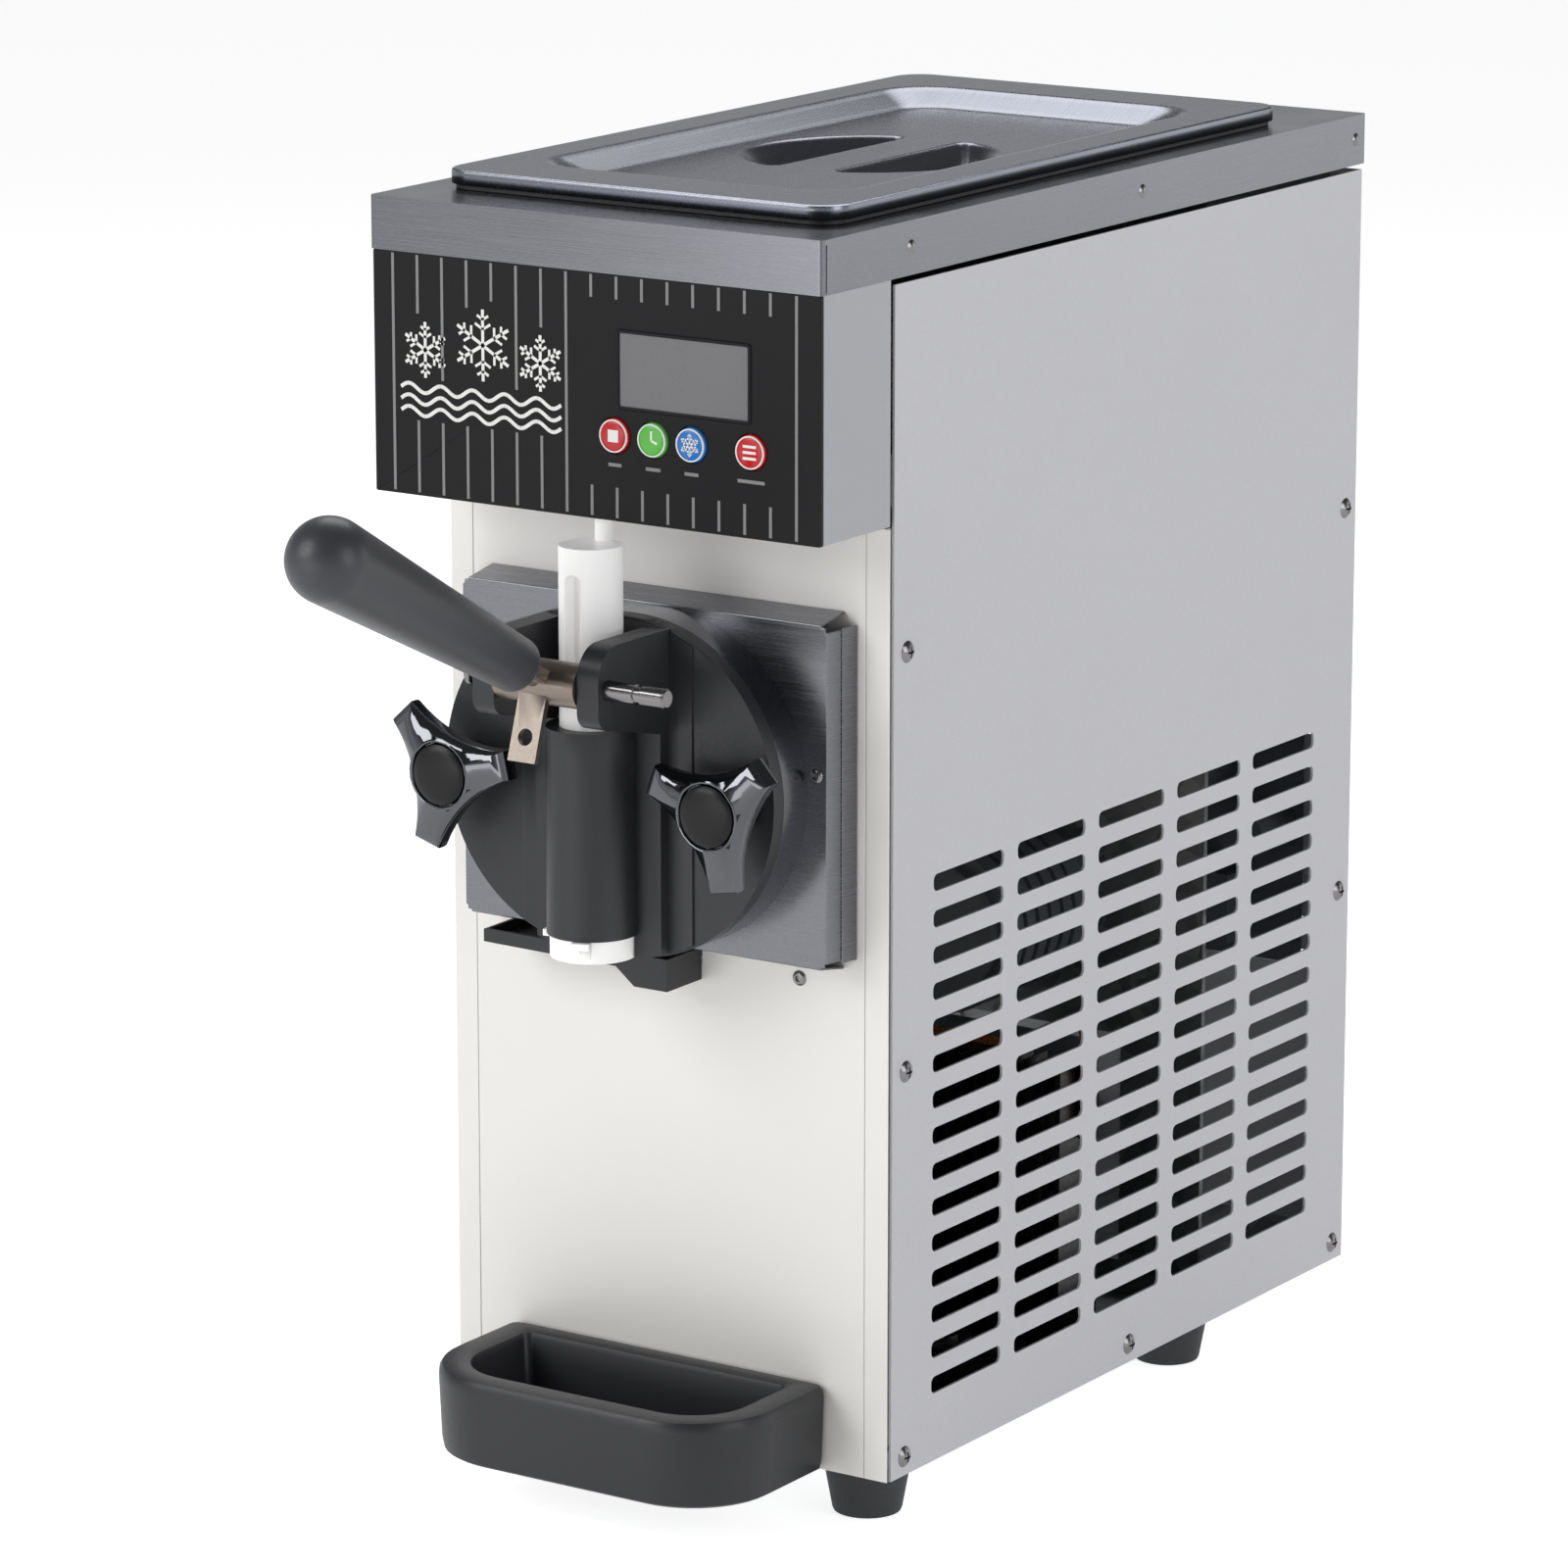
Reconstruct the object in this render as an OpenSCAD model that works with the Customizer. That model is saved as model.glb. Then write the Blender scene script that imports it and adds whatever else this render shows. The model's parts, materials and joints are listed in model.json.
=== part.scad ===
// Countertop soft-serve ice cream maker, one flavour, one draw lever.
// +X is the right side as the user faces it, the front faces -Y, +Z is up.
// The origin is on the table, under the middle of the whole machine.

/* [Cabinet] */
// Width over the stainless top cap
cap_w = 240; // [230:1:300]
// Depth of the top cap, front to back
cap_d = 474; // [450:1:600]
// Height of the cabinet, from its base to the top of the cap
body_h = 571; // [560:1:700]
// Height of the stainless band around the top
cap_band = 24; // [18:1:30]
// Thickness of the sheet metal
sheet_t = 1.2; // [0.8:0.1:1.6]
// How far the side and rear panels sit in from the cap
panel_inset = 1.2; // [0.6:0.1:2]
// Height of the control head, cap included
head_h = 133; // [120:1:150]
// How far the control head stands out over the front panel
head_d = 56; // [50:1:70]
// Width of the folded corner posts seen at the front
post_w = 12.5; // [10:0.5:20]

/* [Feet] */
// Height of the rubber feet
foot_h = 24; // [18:1:30]
// Top radius of a foot
foot_r = 20; // [16:0.5:24]
// Bottom radius of a foot
foot_tip_r = 16; // [12:0.5:18]
// Distance of the feet from the middle plane
foot_x = 92; // [80:1:95]
// Distance of the front feet behind the front panel
foot_front = 25; // [22:1:60]
// Distance from front feet to rear feet
foot_pitch = 267; // [200:1:300]

/* [Side vents] */
// Columns of slots
vent_cols = 5; // [3:1:5]
// Rows of slots
vent_rows = 15; // [8:1:15]
// Length of one slot
vent_l = 59; // [40:1:62]
// Height of one slot
vent_h = 8; // [6:0.5:10]
// Corner radius of a slot
vent_r = 3; // [1:0.5:3]
// Pitch between columns
vent_pitch_y = 71; // [68:1:80]
// Pitch between rows
vent_pitch_z = 16.75; // [14:0.25:17]

/* [Freezing cylinder] */
// Drop from the cap to the cylinder axis
cyl_drop = 254; // [240:1:270]
// Inner radius of the freezing cylinder
cyl_r = 50; // [45:1:55]
// Wall of the freezing cylinder
cyl_wall = 2; // [1.5:0.5:3]
// Length of the cylinder behind the front panel
cyl_l = 205; // [180:1:230]
// Half height of the oval flange and head plate
oval_r = 77; // [74:1:80]
// Half the straight length in the oval
oval_shift = 11.5; // [10:0.5:14]

/* [Dispensing head] */
// Depth of the stainless shroud tray
shroud_d = 19; // [15:1:25]
// Thickness of the cylinder flange
flange_t = 19; // [15:1:25]
// Thickness of the black head plate
plate_t = 8; // [6:1:10]
// Distance from the head plate to the plunger axis
barrel_out = 12; // [10:1:13]
// Outer radius of the valve barrel
barrel_r = 20.6; // [19:0.2:23]
// Radius of the plunger
plunger_r = 14.25; // [12:0.25:15]
// Outer radius of the nozzle cap
nozzle_r = 19.2; // [17:0.2:20]
// Depth of the finger's groove in the plunger
groove_d = 8; // [4:0.5:9]
// Distance between the two ears
ear_gap = 44.4; // [43:0.2:48]
// Thickness of one ear
ear_t = 11.4; // [9:0.2:13]
// Distance from plunger axis to lever pivot
pivot_out = 35; // [34:1:40]
// Height of the lever pivot above the cylinder axis
pivot_up = 55; // [50:1:60]
// Gap between the plunger and the control head
plunger_gap = 11; // [10.5:0.5:16]
// Distance of each knob from the middle plane
knob_x = 72; // [70.5:0.5:76]
// Reach of the knob lobes
knob_reach = 35; // [28:1:36]

/* [Draw lever] */
// Radius of the pivot pin
pin_r = 4.5; // [4:0.1:5]
// Reach of the finger that lifts the plunger
finger_l = 27; // [26:1:30]
// Swing of the lever, in degrees
lever_swing = 20; // [15:1:20]
// Rise of the lever above level, in degrees
lever_rise = 27.5; // [20:0.5:35]
// Distance from the pivot to the middle of the ball end
grip_reach = 172; // [150:1:210]
// Radius of the ball end
ball_r = 19; // [15:1:22]
// Radius of the grip at its lever end
grip_r = 12.5; // [11:0.5:14]

/* [Control panel] */
// Width of the display window
screen_w = 68; // [50:1:70]
// Height of the display window
screen_h = 33; // [20:1:34]
// Radius of the push buttons
button_r = 7.85; // [6:0.05:8]
// Travel of the push buttons
button_travel = 1.5; // [1:0.1:2]

/* [Lid and hopper] */
// Width of the lid
lid_w = 210; // [190:1:214]
// Depth of the lid
lid_d = 390; // [350:1:410]
// Height of the lid rim
lid_t = 6.5; // [5:0.5:9]
// Thickness of the lid gasket
gasket_t = 2.5; // [2:0.5:4]
// Width of the hopper pan inside
hopper_w = 170; // [150:1:176]
// Depth of the hopper pan, top to bottom
hopper_h = 112; // [80:1:130]

/* [Trays] */
// Width of the drip tray
tray_w = 174; // [150:1:200]
// How far the drip tray stands out from the front panel
tray_out = 87; // [70:1:100]
// Height of the drip tray
tray_h = 41; // [30:1:50]
// Wall of the drip tray
tray_wall = 3; // [2:0.5:4]

/* [Hidden] */
$fn = 64;

run_fit = 0.06;   // radial clearance of a shaft or pin that turns in its bore
slip = 0.4;       // clearance between pieces that move past each other
eps = 0.01;       // overlap that keeps a cut clean

// levels and planes
base_z = foot_h;
top_z = foot_h + body_h;
band_z = top_z - cap_band;
head_z = top_z - head_h;
front_y = -cap_d / 2 + head_d;
back_y = cap_d / 2 - panel_inset;
side_x = cap_w / 2 - panel_inset;
inner_x = side_x - sheet_t;
axis_z = top_z - cyl_drop;
shroud_y = front_y - shroud_d;
flange_y = shroud_y - flange_t;
plate_y = flange_y - plate_t;
barrel_y = plate_y - barrel_out;
pivot_y = barrel_y - pivot_out;
pivot_z = axis_z + pivot_up;
plunger_top = head_z - plunger_gap;
lid_z = top_z + gasket_t;
grip_tip_y = pivot_y - grip_reach * cos(lever_rise) - ball_r;
y_off = -(cap_d / 2 + grip_tip_y) / 2;

// places that several pieces share
lid_y = -11;
opening_w = hopper_w + 6;
opening_d = lid_d - 40;
hopper_z = top_z - sheet_t - hopper_h;
spout_y = -60;
spout_r = 14;
stud_r = 4;
stud_len = 50;
port_z = axis_z - 38;
port_r = 8;
plunger_low = port_z - port_r - 1;
barrel_low = axis_z - 65;
barrel_top = axis_z + 29;
plateau_x = ear_gap / 2 + ear_t;
plateau_t = 7.5;
notch_r = nozzle_r + 0.6;   // room for the nozzle cap to turn
button_z = top_z - 95;
button_xs = [11.6, 31.8, 52, 83.1];
screen_x = 48;
screen_z = top_z - 65.5;
fascia_y = -cap_d / 2;
fascia_t = 3;
sensor_r = 4.2;
sensor_gap = 1.3;   // from the fascia to the pin, which stands over the plunger's rim
sensor_y = fascia_y + fascia_t + sensor_gap + sensor_r;
switch_z = head_z + 28;
cyl_back = front_y + cyl_l;
bulkhead_y = cyl_back + 94;
bulkhead_t = 3;
motor_z = axis_z - 125;
motor_r = 42;
belt_y = bulkhead_y + 20;
belt_w = 12;
big_r = 45;
small_r = 20;
fan_z = base_z + 77;
fan_y = cyl_back + 14;
fan_r = 58;
comp_y = front_y + 96;
comp_r = 65;
tray_z = base_z + 0.5;
tab_z = tray_z + tray_h - 14;
leak_z = axis_z - 82;
vent_y0 = front_y + 36.5 + vent_l / 2;
vent_z0 = base_z + 32 + vent_h / 2;
screw_ys = [front_y + 14, back_y - 10];
screw_zs = [base_z + 9, base_z + 189, base_z + 380];
rivet_ys = [-167, 28, 227 + (cap_d - 474) / 2];

// ---------- helpers ----------
module shifted() {
    translate([0, y_off, 0]) children();
}

// a block between two corners
module block(low, high) {
    translate(low) cube(high - low);
}

// a round bar along +Y from y0 to y1
module bar_y(r, y0, y1, x = 0, z = 0) {
    translate([x, y0, z]) rotate([-90, 0, 0]) cylinder(r = r, h = y1 - y0);
}

// a round bar along +X from x0 to x1
module bar_x(r, x0, x1, y = 0, z = 0) {
    translate([x0, y, z]) rotate([0, 90, 0]) cylinder(r = r, h = x1 - x0);
}

// a round bar along +Z from z0 to z1
module bar_z(r, z0, z1, x = 0, y = 0) {
    translate([x, y, z0]) cylinder(r = r, h = z1 - z0);
}

// a rectangle with round corners, centred
module soft_rect(w, h, r) {
    square([w - 2 * r, h], center = true);
    square([w, h - 2 * r], center = true);
    for (x = [-1, 1], y = [-1, 1])
        translate([x * (w / 2 - r), y * (h / 2 - r)]) circle(r = r);
}

// an oval with straight top and bottom, centred
module oval(r, shift) {
    square([2 * shift, 2 * r], center = true);
    for (x = [-1, 1]) translate([x * shift, 0]) circle(r = r);
}

// stands a flat outline, drawn as x and z, from y0 to y1
module upright(y0, y1, x = 0, z = 0) {
    translate([x, y1, z]) rotate([90, 0, 0]) linear_extrude(y1 - y0) children();
}

// a copy on each side of the middle plane
module both_sides() {
    children();
    mirror([1, 0, 0]) children();
}

// a round tube bent through a list of points
module pipe_run(points, r) {
    for (i = [0:len(points) - 2]) {
        a = points[i];
        b = points[i + 1];
        d = b - a;
        turn = atan2(d[1], d[0]);
        tilt = acos(d[2] / norm(d));
        translate(a) rotate([0, tilt, turn]) cylinder(r = r, h = norm(d));
    }
    for (i = [1:len(points) - 2]) translate(points[i]) sphere(r = r);
}

// ---------- cabinet ----------
module base_plate() {
    lip = 15;
    color("darkgray") shifted() difference() {
        block([-inner_x, front_y + sheet_t, base_z], [inner_x, back_y - sheet_t, base_z + lip]);
        block([-inner_x + sheet_t, front_y + 2 * sheet_t, base_z + sheet_t],
            [inner_x - sheet_t, back_y - 2 * sheet_t, base_z + lip + eps]);
        for (x = [-foot_x, foot_x], y = [0, foot_pitch])
            bar_z(3, base_z - 1, base_z + 5, x, front_y + foot_front + y);
    }
}

module feet() {
    chamfer = 1.5;
    color("#222326") shifted()
        for (x = [-foot_x, foot_x], y = [0, foot_pitch])
            translate([x, front_y + foot_front + y, 0]) difference() {
                rotate_extrude() polygon([[0, 0], [foot_tip_r - chamfer, 0], [foot_tip_r, chamfer],
                    [foot_r, foot_h - chamfer], [foot_r, foot_h], [0, foot_h]]);
                bar_z(7, -1, 6);
            }
}

// a folded angle behind each corner, the front pair shows beside the front panel
module corner_posts() {
    top = head_z - sheet_t;
    color("#e9e7e2") shifted() both_sides() {
        difference() {
            block([side_x - post_w, front_y, base_z + 0.2], [side_x - 0.3, front_y + sheet_t, top]);
            block([side_x - sheet_t - 0.3, front_y + 0.6, base_z], [side_x, front_y + 3, top + 1]);
        }
        block([inner_x - 2 * sheet_t, front_y + sheet_t, base_z + 16], [inner_x - sheet_t, front_y + 22, top]);
        block([inner_x - 2 * sheet_t, back_y - 22, base_z + 16], [inner_x - sheet_t, back_y - 3, band_z - 4]);
        block([inner_x - 14, back_y - 3 - sheet_t, base_z + 16],
            [inner_x - 2 * sheet_t, back_y - 3, band_z - 4]);
    }
}

module front_panel() {
    w = 2 * (side_x - post_w) - 0.6;
    color("#efede8") shifted() difference() {
        block([-w / 2, front_y, base_z + 0.2], [w / 2, front_y + sheet_t, head_z - sheet_t]);
        bar_y(cyl_r + cyl_wall + 2, front_y - 1, front_y + 5, 0, axis_z);
        block([-84, front_y - 1, leak_z - 8], [19, front_y + 5, leak_z + 1]);
        for (x = [-50, 50])
            block([x - 5.5, front_y - 1, tab_z - 2.5], [x + 5.5, front_y + 5, tab_z + 2.5]);
    }
}

module vent_slots(x0, x1) {
    for (c = [0:vent_cols - 1], r = [0:vent_rows - 1])
        translate([x0, vent_y0 + c * vent_pitch_y, vent_z0 + r * vent_pitch_z])
            rotate([90, 0, 90]) linear_extrude(x1 - x0) soft_rect(vent_l, vent_h, vent_r);
}

module side_screw_places() {
    for (y = screw_ys, z = screw_zs) translate([side_x, y, z]) rotate([0, 90, 0]) children();
    translate([side_x, 30, base_z + 9]) rotate([0, 90, 0]) children();
}

module side_panel() {
    difference() {
        block([side_x - sheet_t, front_y + 3, base_z], [side_x, back_y, band_z - 3]);
        vent_slots(side_x - 3, side_x + 1);
        side_screw_places() translate([0, 0, -2]) cylinder(r = 2.1, h = 3);
    }
}

module left_side_panel() {
    color("#c9c9cc") shifted() mirror([1, 0, 0]) side_panel();
}

module right_side_panel() {
    color("#c9c9cc") shifted() side_panel();
}

module rear_panel() {
    color("#c9c9cc") shifted() difference() {
        block([-inner_x, back_y - sheet_t, base_z], [inner_x, back_y, band_z - 3]);
        for (c = [-1:1], r = [0:13])
            translate([c * 70, back_y - 3, base_z + 150 + r * vent_pitch_z])
                rotate([-90, 0, 0]) linear_extrude(6) soft_rect(vent_l, vent_h, vent_r);
        block([inlet_x - 14, back_y - 3, inlet_z - 10], [inlet_x + 14, back_y + 1, inlet_z + 10]);
        block([rocker_x - 10, back_y - 3, inlet_z - 12], [rocker_x + 10, back_y + 1, inlet_z + 12]);
    }
}

// domed heads with a short shank in the panel's hole
module dome_head(r, h, shank_r, shank) {
    sphere_r = (r * r + h * h) / (2 * h);
    difference() {
        intersection() {
            translate([0, 0, h - sphere_r]) sphere(r = sphere_r);
            cylinder(r = r + 1, h = h + 1);
        }
        translate([0, 0, h - 0.8]) {
            cube([r, 1, 2], center = true);
            cube([1, r, 2], center = true);
        }
    }
    translate([0, 0, -shank]) cylinder(r = shank_r, h = shank + eps);
}

module side_screws() {
    color("silver") shifted() both_sides() side_screw_places() dome_head(5, 2.4, 2, sheet_t);
}

// ---------- top ----------
module lid_opening(z0, z1) {
    translate([0, lid_y, z0]) linear_extrude(z1 - z0) soft_rect(opening_w, opening_d, 14);
}

module top_cap() {
    color("#b9bbbf") shifted() difference() {
        translate([0, 0, band_z]) linear_extrude(cap_band) soft_rect(cap_w, cap_d, 2);
        block([-cap_w / 2 + sheet_t, -cap_d / 2 + sheet_t, band_z - 1],
            [cap_w / 2 - sheet_t, cap_d / 2 - sheet_t, top_z - sheet_t]);
        lid_opening(top_z - 5, top_z + 1);
        for (y = rivet_ys, s = [-1, 1])
            bar_x(1.7, s * cap_w / 2 - 4, s * cap_w / 2 + 4, y, top_z - 11.7);
    }
}

module cap_rivets() {
    color("silver") shifted() both_sides()
        for (y = rivet_ys) translate([cap_w / 2, y, top_z - 11.7]) rotate([0, 90, 0])
            intersection() {
                union() {
                    translate([0, 0, -3.1]) sphere(r = 4.5);
                    translate([0, 0, -sheet_t]) cylinder(r = 1.6, h = sheet_t);
                }
                union() {
                    cylinder(r = 4, h = 3);
                    translate([0, 0, -sheet_t]) cylinder(r = 1.6, h = sheet_t + eps);
                }
            }
}

// the box that carries the controls, open at its back and front
module head_shell() {
    w = side_x;
    color("#c4c5c9") shifted() difference() {
        block([-w, fascia_y + fascia_t, head_z], [w, front_y, band_z]);
        block([-w + sheet_t, fascia_y - 1, head_z + sheet_t], [w - sheet_t, front_y + 5, band_z + 1]);
        bar_z(sensor_r + slip, head_z - 1, head_z + 5, 0, sensor_y);
    }
}

module fascia_outline() {
    soft_rect(2 * side_x, band_z - head_z, 1);
}

module control_fascia() {
    line_w = 2;
    stripe_pitch = 13.4;
    mid_z = (band_z + head_z) / 2;
    color("#27272a") shifted() difference() {
        union() {
            upright(fascia_y + 0.6, fascia_y + fascia_t, 0, mid_z) fascia_outline();
            for (k = [0:16])
                translate([-107.9 + stripe_pitch * k - line_w / 2, fascia_y + 0.3, 0])
                    if (k < 8)
                        block([0, 0, head_z + 2], [line_w, 0.31, band_z - 2]);
                    else
                        block([0, 0, head_z + 2], [line_w, 0.31, head_z + 14]);
        }
        upright(fascia_y - 1, fascia_y + 5, screen_x, screen_z) square([screen_w, screen_h], center = true);
        for (x = button_xs) bar_y(button_r + slip, fascia_y - 1, fascia_y + 5, x, button_z);
    }
}

module display_window() {
    gap = 0.05;
    color("#7d7d7f") shifted() upright(fascia_y + 0.5, fascia_y + 2.5, screen_x, screen_z)
        square([screen_w - 2 * gap, screen_h - 2 * gap], center = true);
}

module push_button(x) {
    shifted() {
        bar_y(button_r, fascia_y - 1, fascia_y + fascia_t + 1, x, button_z);
        bar_y(button_r + 2, fascia_y + fascia_t + slip, fascia_y + fascia_t + 1.5, x, button_z);
    }
}

module stop_button() {
    color("#b8141f") push_button(button_xs[0]);
}

module auto_button() {
    color("#5cbf4a") push_button(button_xs[1]);
}

module cool_button() {
    color("#2a72c8") push_button(button_xs[2]);
}

module defrost_button() {
    color("#b8141f") push_button(button_xs[3]);
}

module control_board() {
    board_y = fascia_y + fascia_t + button_travel + 4;
    color("#1f5c36") shifted() {
        block([8.3, board_y, head_z + 22], [104, board_y + 1.6, band_z - 8]);
        for (x = button_xs)
            block([x - 3, board_y - 2, button_z - 3], [x + 3, board_y, button_z + 3]);
        block([screen_x - 30, board_y - 3.5, screen_z - 14], [screen_x + 30, board_y, screen_z + 14]);
        block([70, board_y + 1.6, head_z + 30], [100, board_y + 12, head_z + 50]);
    }
}

module microswitch() {
    color("#3a3a3e") shifted() {
        block([-20, fascia_y + fascia_t, switch_z], [1, sensor_y + 5, switch_z + 16]);
        block([-5, sensor_y - 3, switch_z + 16], [-1, sensor_y + 3, switch_z + 20]);
    }
}

module switch_pin() {
    color("#f2f1ee") shifted() {
        bar_z(sensor_r, plunger_top + 0.3, switch_z - 10, 0, sensor_y);
        bar_z(sensor_r + 1, head_z + sheet_t + 0.3, head_z + sheet_t + 2.3, 0, sensor_y);
    }
}

// ---------- hopper and lid ----------
module hopper_pan() {
    wall = 1.5;
    depth = opening_d - 6;
    rim_z = top_z - sheet_t;
    color("#c6c8cb") shifted() difference() {
        union() {
            translate([0, lid_y, hopper_z]) linear_extrude(hopper_h) soft_rect(hopper_w, depth, 20);
            translate([0, lid_y, rim_z - wall]) linear_extrude(wall)
                soft_rect(opening_w + 16, opening_d + 16, 20);
            bar_z(spout_r, axis_z + cyl_r, hopper_z + 1, 0, spout_y);
        }
        translate([0, lid_y, hopper_z + wall]) linear_extrude(hopper_h)
            soft_rect(hopper_w - 2 * wall, depth - 2 * wall, 18.5);
        bar_z(spout_r - 2, axis_z, hopper_z + 5, 0, spout_y);
    }
}

module air_tube() {
    tube_r = spout_r - 2 - run_fit;
    color("#e8e8e6") shifted() difference() {
        union() {
            bar_z(tube_r, hopper_z - 20, hopper_z + 70, 0, spout_y);
            bar_z(tube_r + 4, hopper_z + 1.8, hopper_z + 7, 0, spout_y);
        }
        bar_z(tube_r - 2.5, hopper_z - 21, hopper_z + 71, 0, spout_y);
        bar_y(3, spout_y - 20, spout_y, 0, hopper_z + 12);
    }
}

// a pressed lid: rim, sunken panel and a finger well crossed by a strap
module lid() {
    sheet = 1.2;
    panel_w = 158;
    panel_d = 308;
    panel_drop = 8;
    well_r = 61;
    well_drop = 13;
    strap = 15;
    top = lid_z + lid_t;
    color("#a7a9ad") shifted() translate([0, lid_y, 0]) difference() {
        union() {
            translate([0, 0, lid_z]) linear_extrude(lid_t) soft_rect(lid_w, lid_d, 15);
            translate([0, 0, top - panel_drop - sheet]) linear_extrude(panel_drop)
                soft_rect(panel_w + 2 * sheet, panel_d + 2 * sheet, 18 + sheet);
            translate([0, -4, top - panel_drop - well_drop - sheet])
                cylinder(r = well_r + sheet, h = well_drop + sheet);
        }
        difference() {
            translate([0, 0, lid_z - 1]) linear_extrude(lid_t + 1 - sheet)
                soft_rect(lid_w - 2 * sheet, lid_d - 2 * sheet, 15 - sheet);
            translate([0, 0, lid_z - 2]) linear_extrude(lid_t + 2)
                soft_rect(panel_w + 2 * sheet, panel_d + 2 * sheet, 18 + sheet);
        }
        translate([0, 0, top - panel_drop]) linear_extrude(panel_drop + 1)
            soft_rect(panel_w, panel_d, 18);
        difference() {
            translate([0, -4, top - panel_drop - well_drop]) cylinder(r = well_r, h = well_drop + 1);
            block([-strap, -70, 0], [strap, 70, top + 1]);
        }
        block([-strap + sheet, -60, top - panel_drop - well_drop - 5],
            [strap - sheet, 52, top - panel_drop - sheet]);
    }
}

module lid_gasket() {
    color("#17181a") shifted() translate([0, lid_y, top_z + 0.01]) linear_extrude(gasket_t - 0.01) difference() {
        soft_rect(lid_w - 4, lid_d - 4, 13);
        soft_rect(opening_w + 4, opening_d + 4, 14);
    }
}

// ---------- freezing cylinder ----------
module freezing_cylinder() {
    color("#c2c4c8") shifted() difference() {
        union() {
            bar_y(cyl_r + cyl_wall, flange_y, cyl_back, 0, axis_z);
            upright(flange_y, shroud_y, 0, axis_z) oval(oval_r, oval_shift);
        }
        bar_y(cyl_r, flange_y - 1, cyl_back - 4, 0, axis_z);
        bar_y(12, cyl_back - 5, cyl_back + 1, 0, axis_z);
        bar_z(spout_r + 0.05, axis_z, axis_z + 90, 0, spout_y);
        bar_z(notch_r, axis_z - oval_r - 1, barrel_low, 0, barrel_y);
        for (x = [-knob_x, knob_x]) bar_y(stud_r + 0.05, flange_y - 1, shroud_y - 4, x, axis_z);
    }
}

module evaporator_coil() {
    tube_r = 4;
    coil_r = cyl_r + cyl_wall + tube_r + 0.3;
    pitch = 14;
    y0 = front_y + 12;
    turns = floor((cyl_l - 24) / pitch);
    color("#b87333") shifted() {
        for (i = [0:turns])
            if (abs(y0 + i * pitch - spout_y) > spout_r + tube_r + 1)
                translate([0, y0 + i * pitch, axis_z]) rotate([90, 0, 0])
                    rotate_extrude() translate([coil_r, 0]) circle(r = tube_r);
        bar_y(tube_r - 0.2, y0, y0 + turns * pitch, coil_r, axis_z);
    }
}

module insulation() {
    foam_r = 78;
    color("#d9cfa8") shifted() difference() {
        bar_y(foam_r, front_y + 3, cyl_back - 2, 0, axis_z);
        bar_y(cyl_r + cyl_wall + 9, front_y + 2, cyl_back - 1, 0, axis_z);
        bar_z(spout_r + 1, axis_z, axis_z + 90, 0, spout_y);
        block([0, front_y, axis_z - 30], [foam_r + 1, front_y + 20, axis_z + 30]);
    }
}

// a shaft with two spiders, long bars and slanted paddles
module beater() {
    bar_r = 3;
    ring = cyl_r - 7;
    y0 = flange_y + 16;
    y1 = cyl_back - 10;
    color("#dcdcdc") shifted() difference() {
        union() {
        bar_y(6, plate_y + plate_t + 4, bulkhead_y - 40, 0, axis_z);
        translate([0, 0, axis_z]) for (a = [0:120:240]) rotate([0, a, 0]) {
            bar_y(bar_r, y0 + 2, y1, ring, 0);
            for (y = [y0 + 5, (y0 + y1) / 2, y1 - 3]) bar_x(bar_r, 0, ring, y, 0);
            for (i = [0:5])
                translate([ring / 2 + 1, y0 + 22 + i * 34, 0]) rotate([25, 0, 0])
                    cube([ring - 4, 14, 2.4], center = true);
        }
        }
        translate([0, 0, axis_z]) for (a = [0:120:240]) rotate([0, a, 0])
            block([cyl_r - 5, y0, -bar_r - 1], [cyl_r, y1 + 1, bar_r + 1]);
    }
}

module scraper_blades() {
    y0 = flange_y + 24;
    y1 = cyl_back - 14;
    color("#f0f0ec") shifted() translate([0, 0, axis_z]) for (a = [0:120:240]) rotate([0, a, 0])
        block([cyl_r - 5, y0, -4.5], [cyl_r - 0.6, y1, 4.5]);
}

module shaft_seal() {
    color("#303033") shifted() difference() {
        union() {
            bar_y(11.9, cyl_back - 4, cyl_back + 6, 0, axis_z);
            bar_y(18, cyl_back, cyl_back + 8, 0, axis_z);
        }
        bar_y(6 + run_fit, cyl_back - 6, cyl_back + 9, 0, axis_z);
    }
}

// ---------- dispensing head ----------
// one flared side of the shroud, seen from its end
module flare(depth, out) {
    polygon([[0, 0], [out, depth], [out - sheet_t, depth], [-sheet_t, 0]]);
}

module head_shroud() {
    half_w = 98.3;
    half_h = oval_r + 0.75;
    notch = 3;
    color("#b4b6ba") shifted() translate([0, 0, axis_z]) difference() {
        union() {
            block([-half_w + 1, shroud_y, -half_h + 1], [half_w - 1, shroud_y + sheet_t, half_h - 1]);
            for (s = [-1, 1]) {
                translate([0, shroud_y, -half_h + notch]) flip_x(s) translate([half_w, 0, 0])
                    linear_extrude(2 * (half_h - notch)) flare(shroud_d - 0.2, 3.4);
                translate([-half_w + notch, shroud_y, 0]) flip_z(s) translate([0, 0, half_h])
                    rotate([0, -90, 180]) mirror([0, 1, 0])
                        linear_extrude(2 * (half_w - notch)) flare(shroud_d - 0.2, 3.4);
            }
        }
        bar_y(cyl_r + cyl_wall + 0.5, shroud_y - 1, shroud_y + 5, 0, 0);
    }
}

module flip_x(s) {
    mirror([s < 0 ? 1 : 0, 0, 0]) children();
}

module flip_z(s) {
    mirror([0, 0, s < 0 ? 1 : 0]) children();
}

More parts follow.
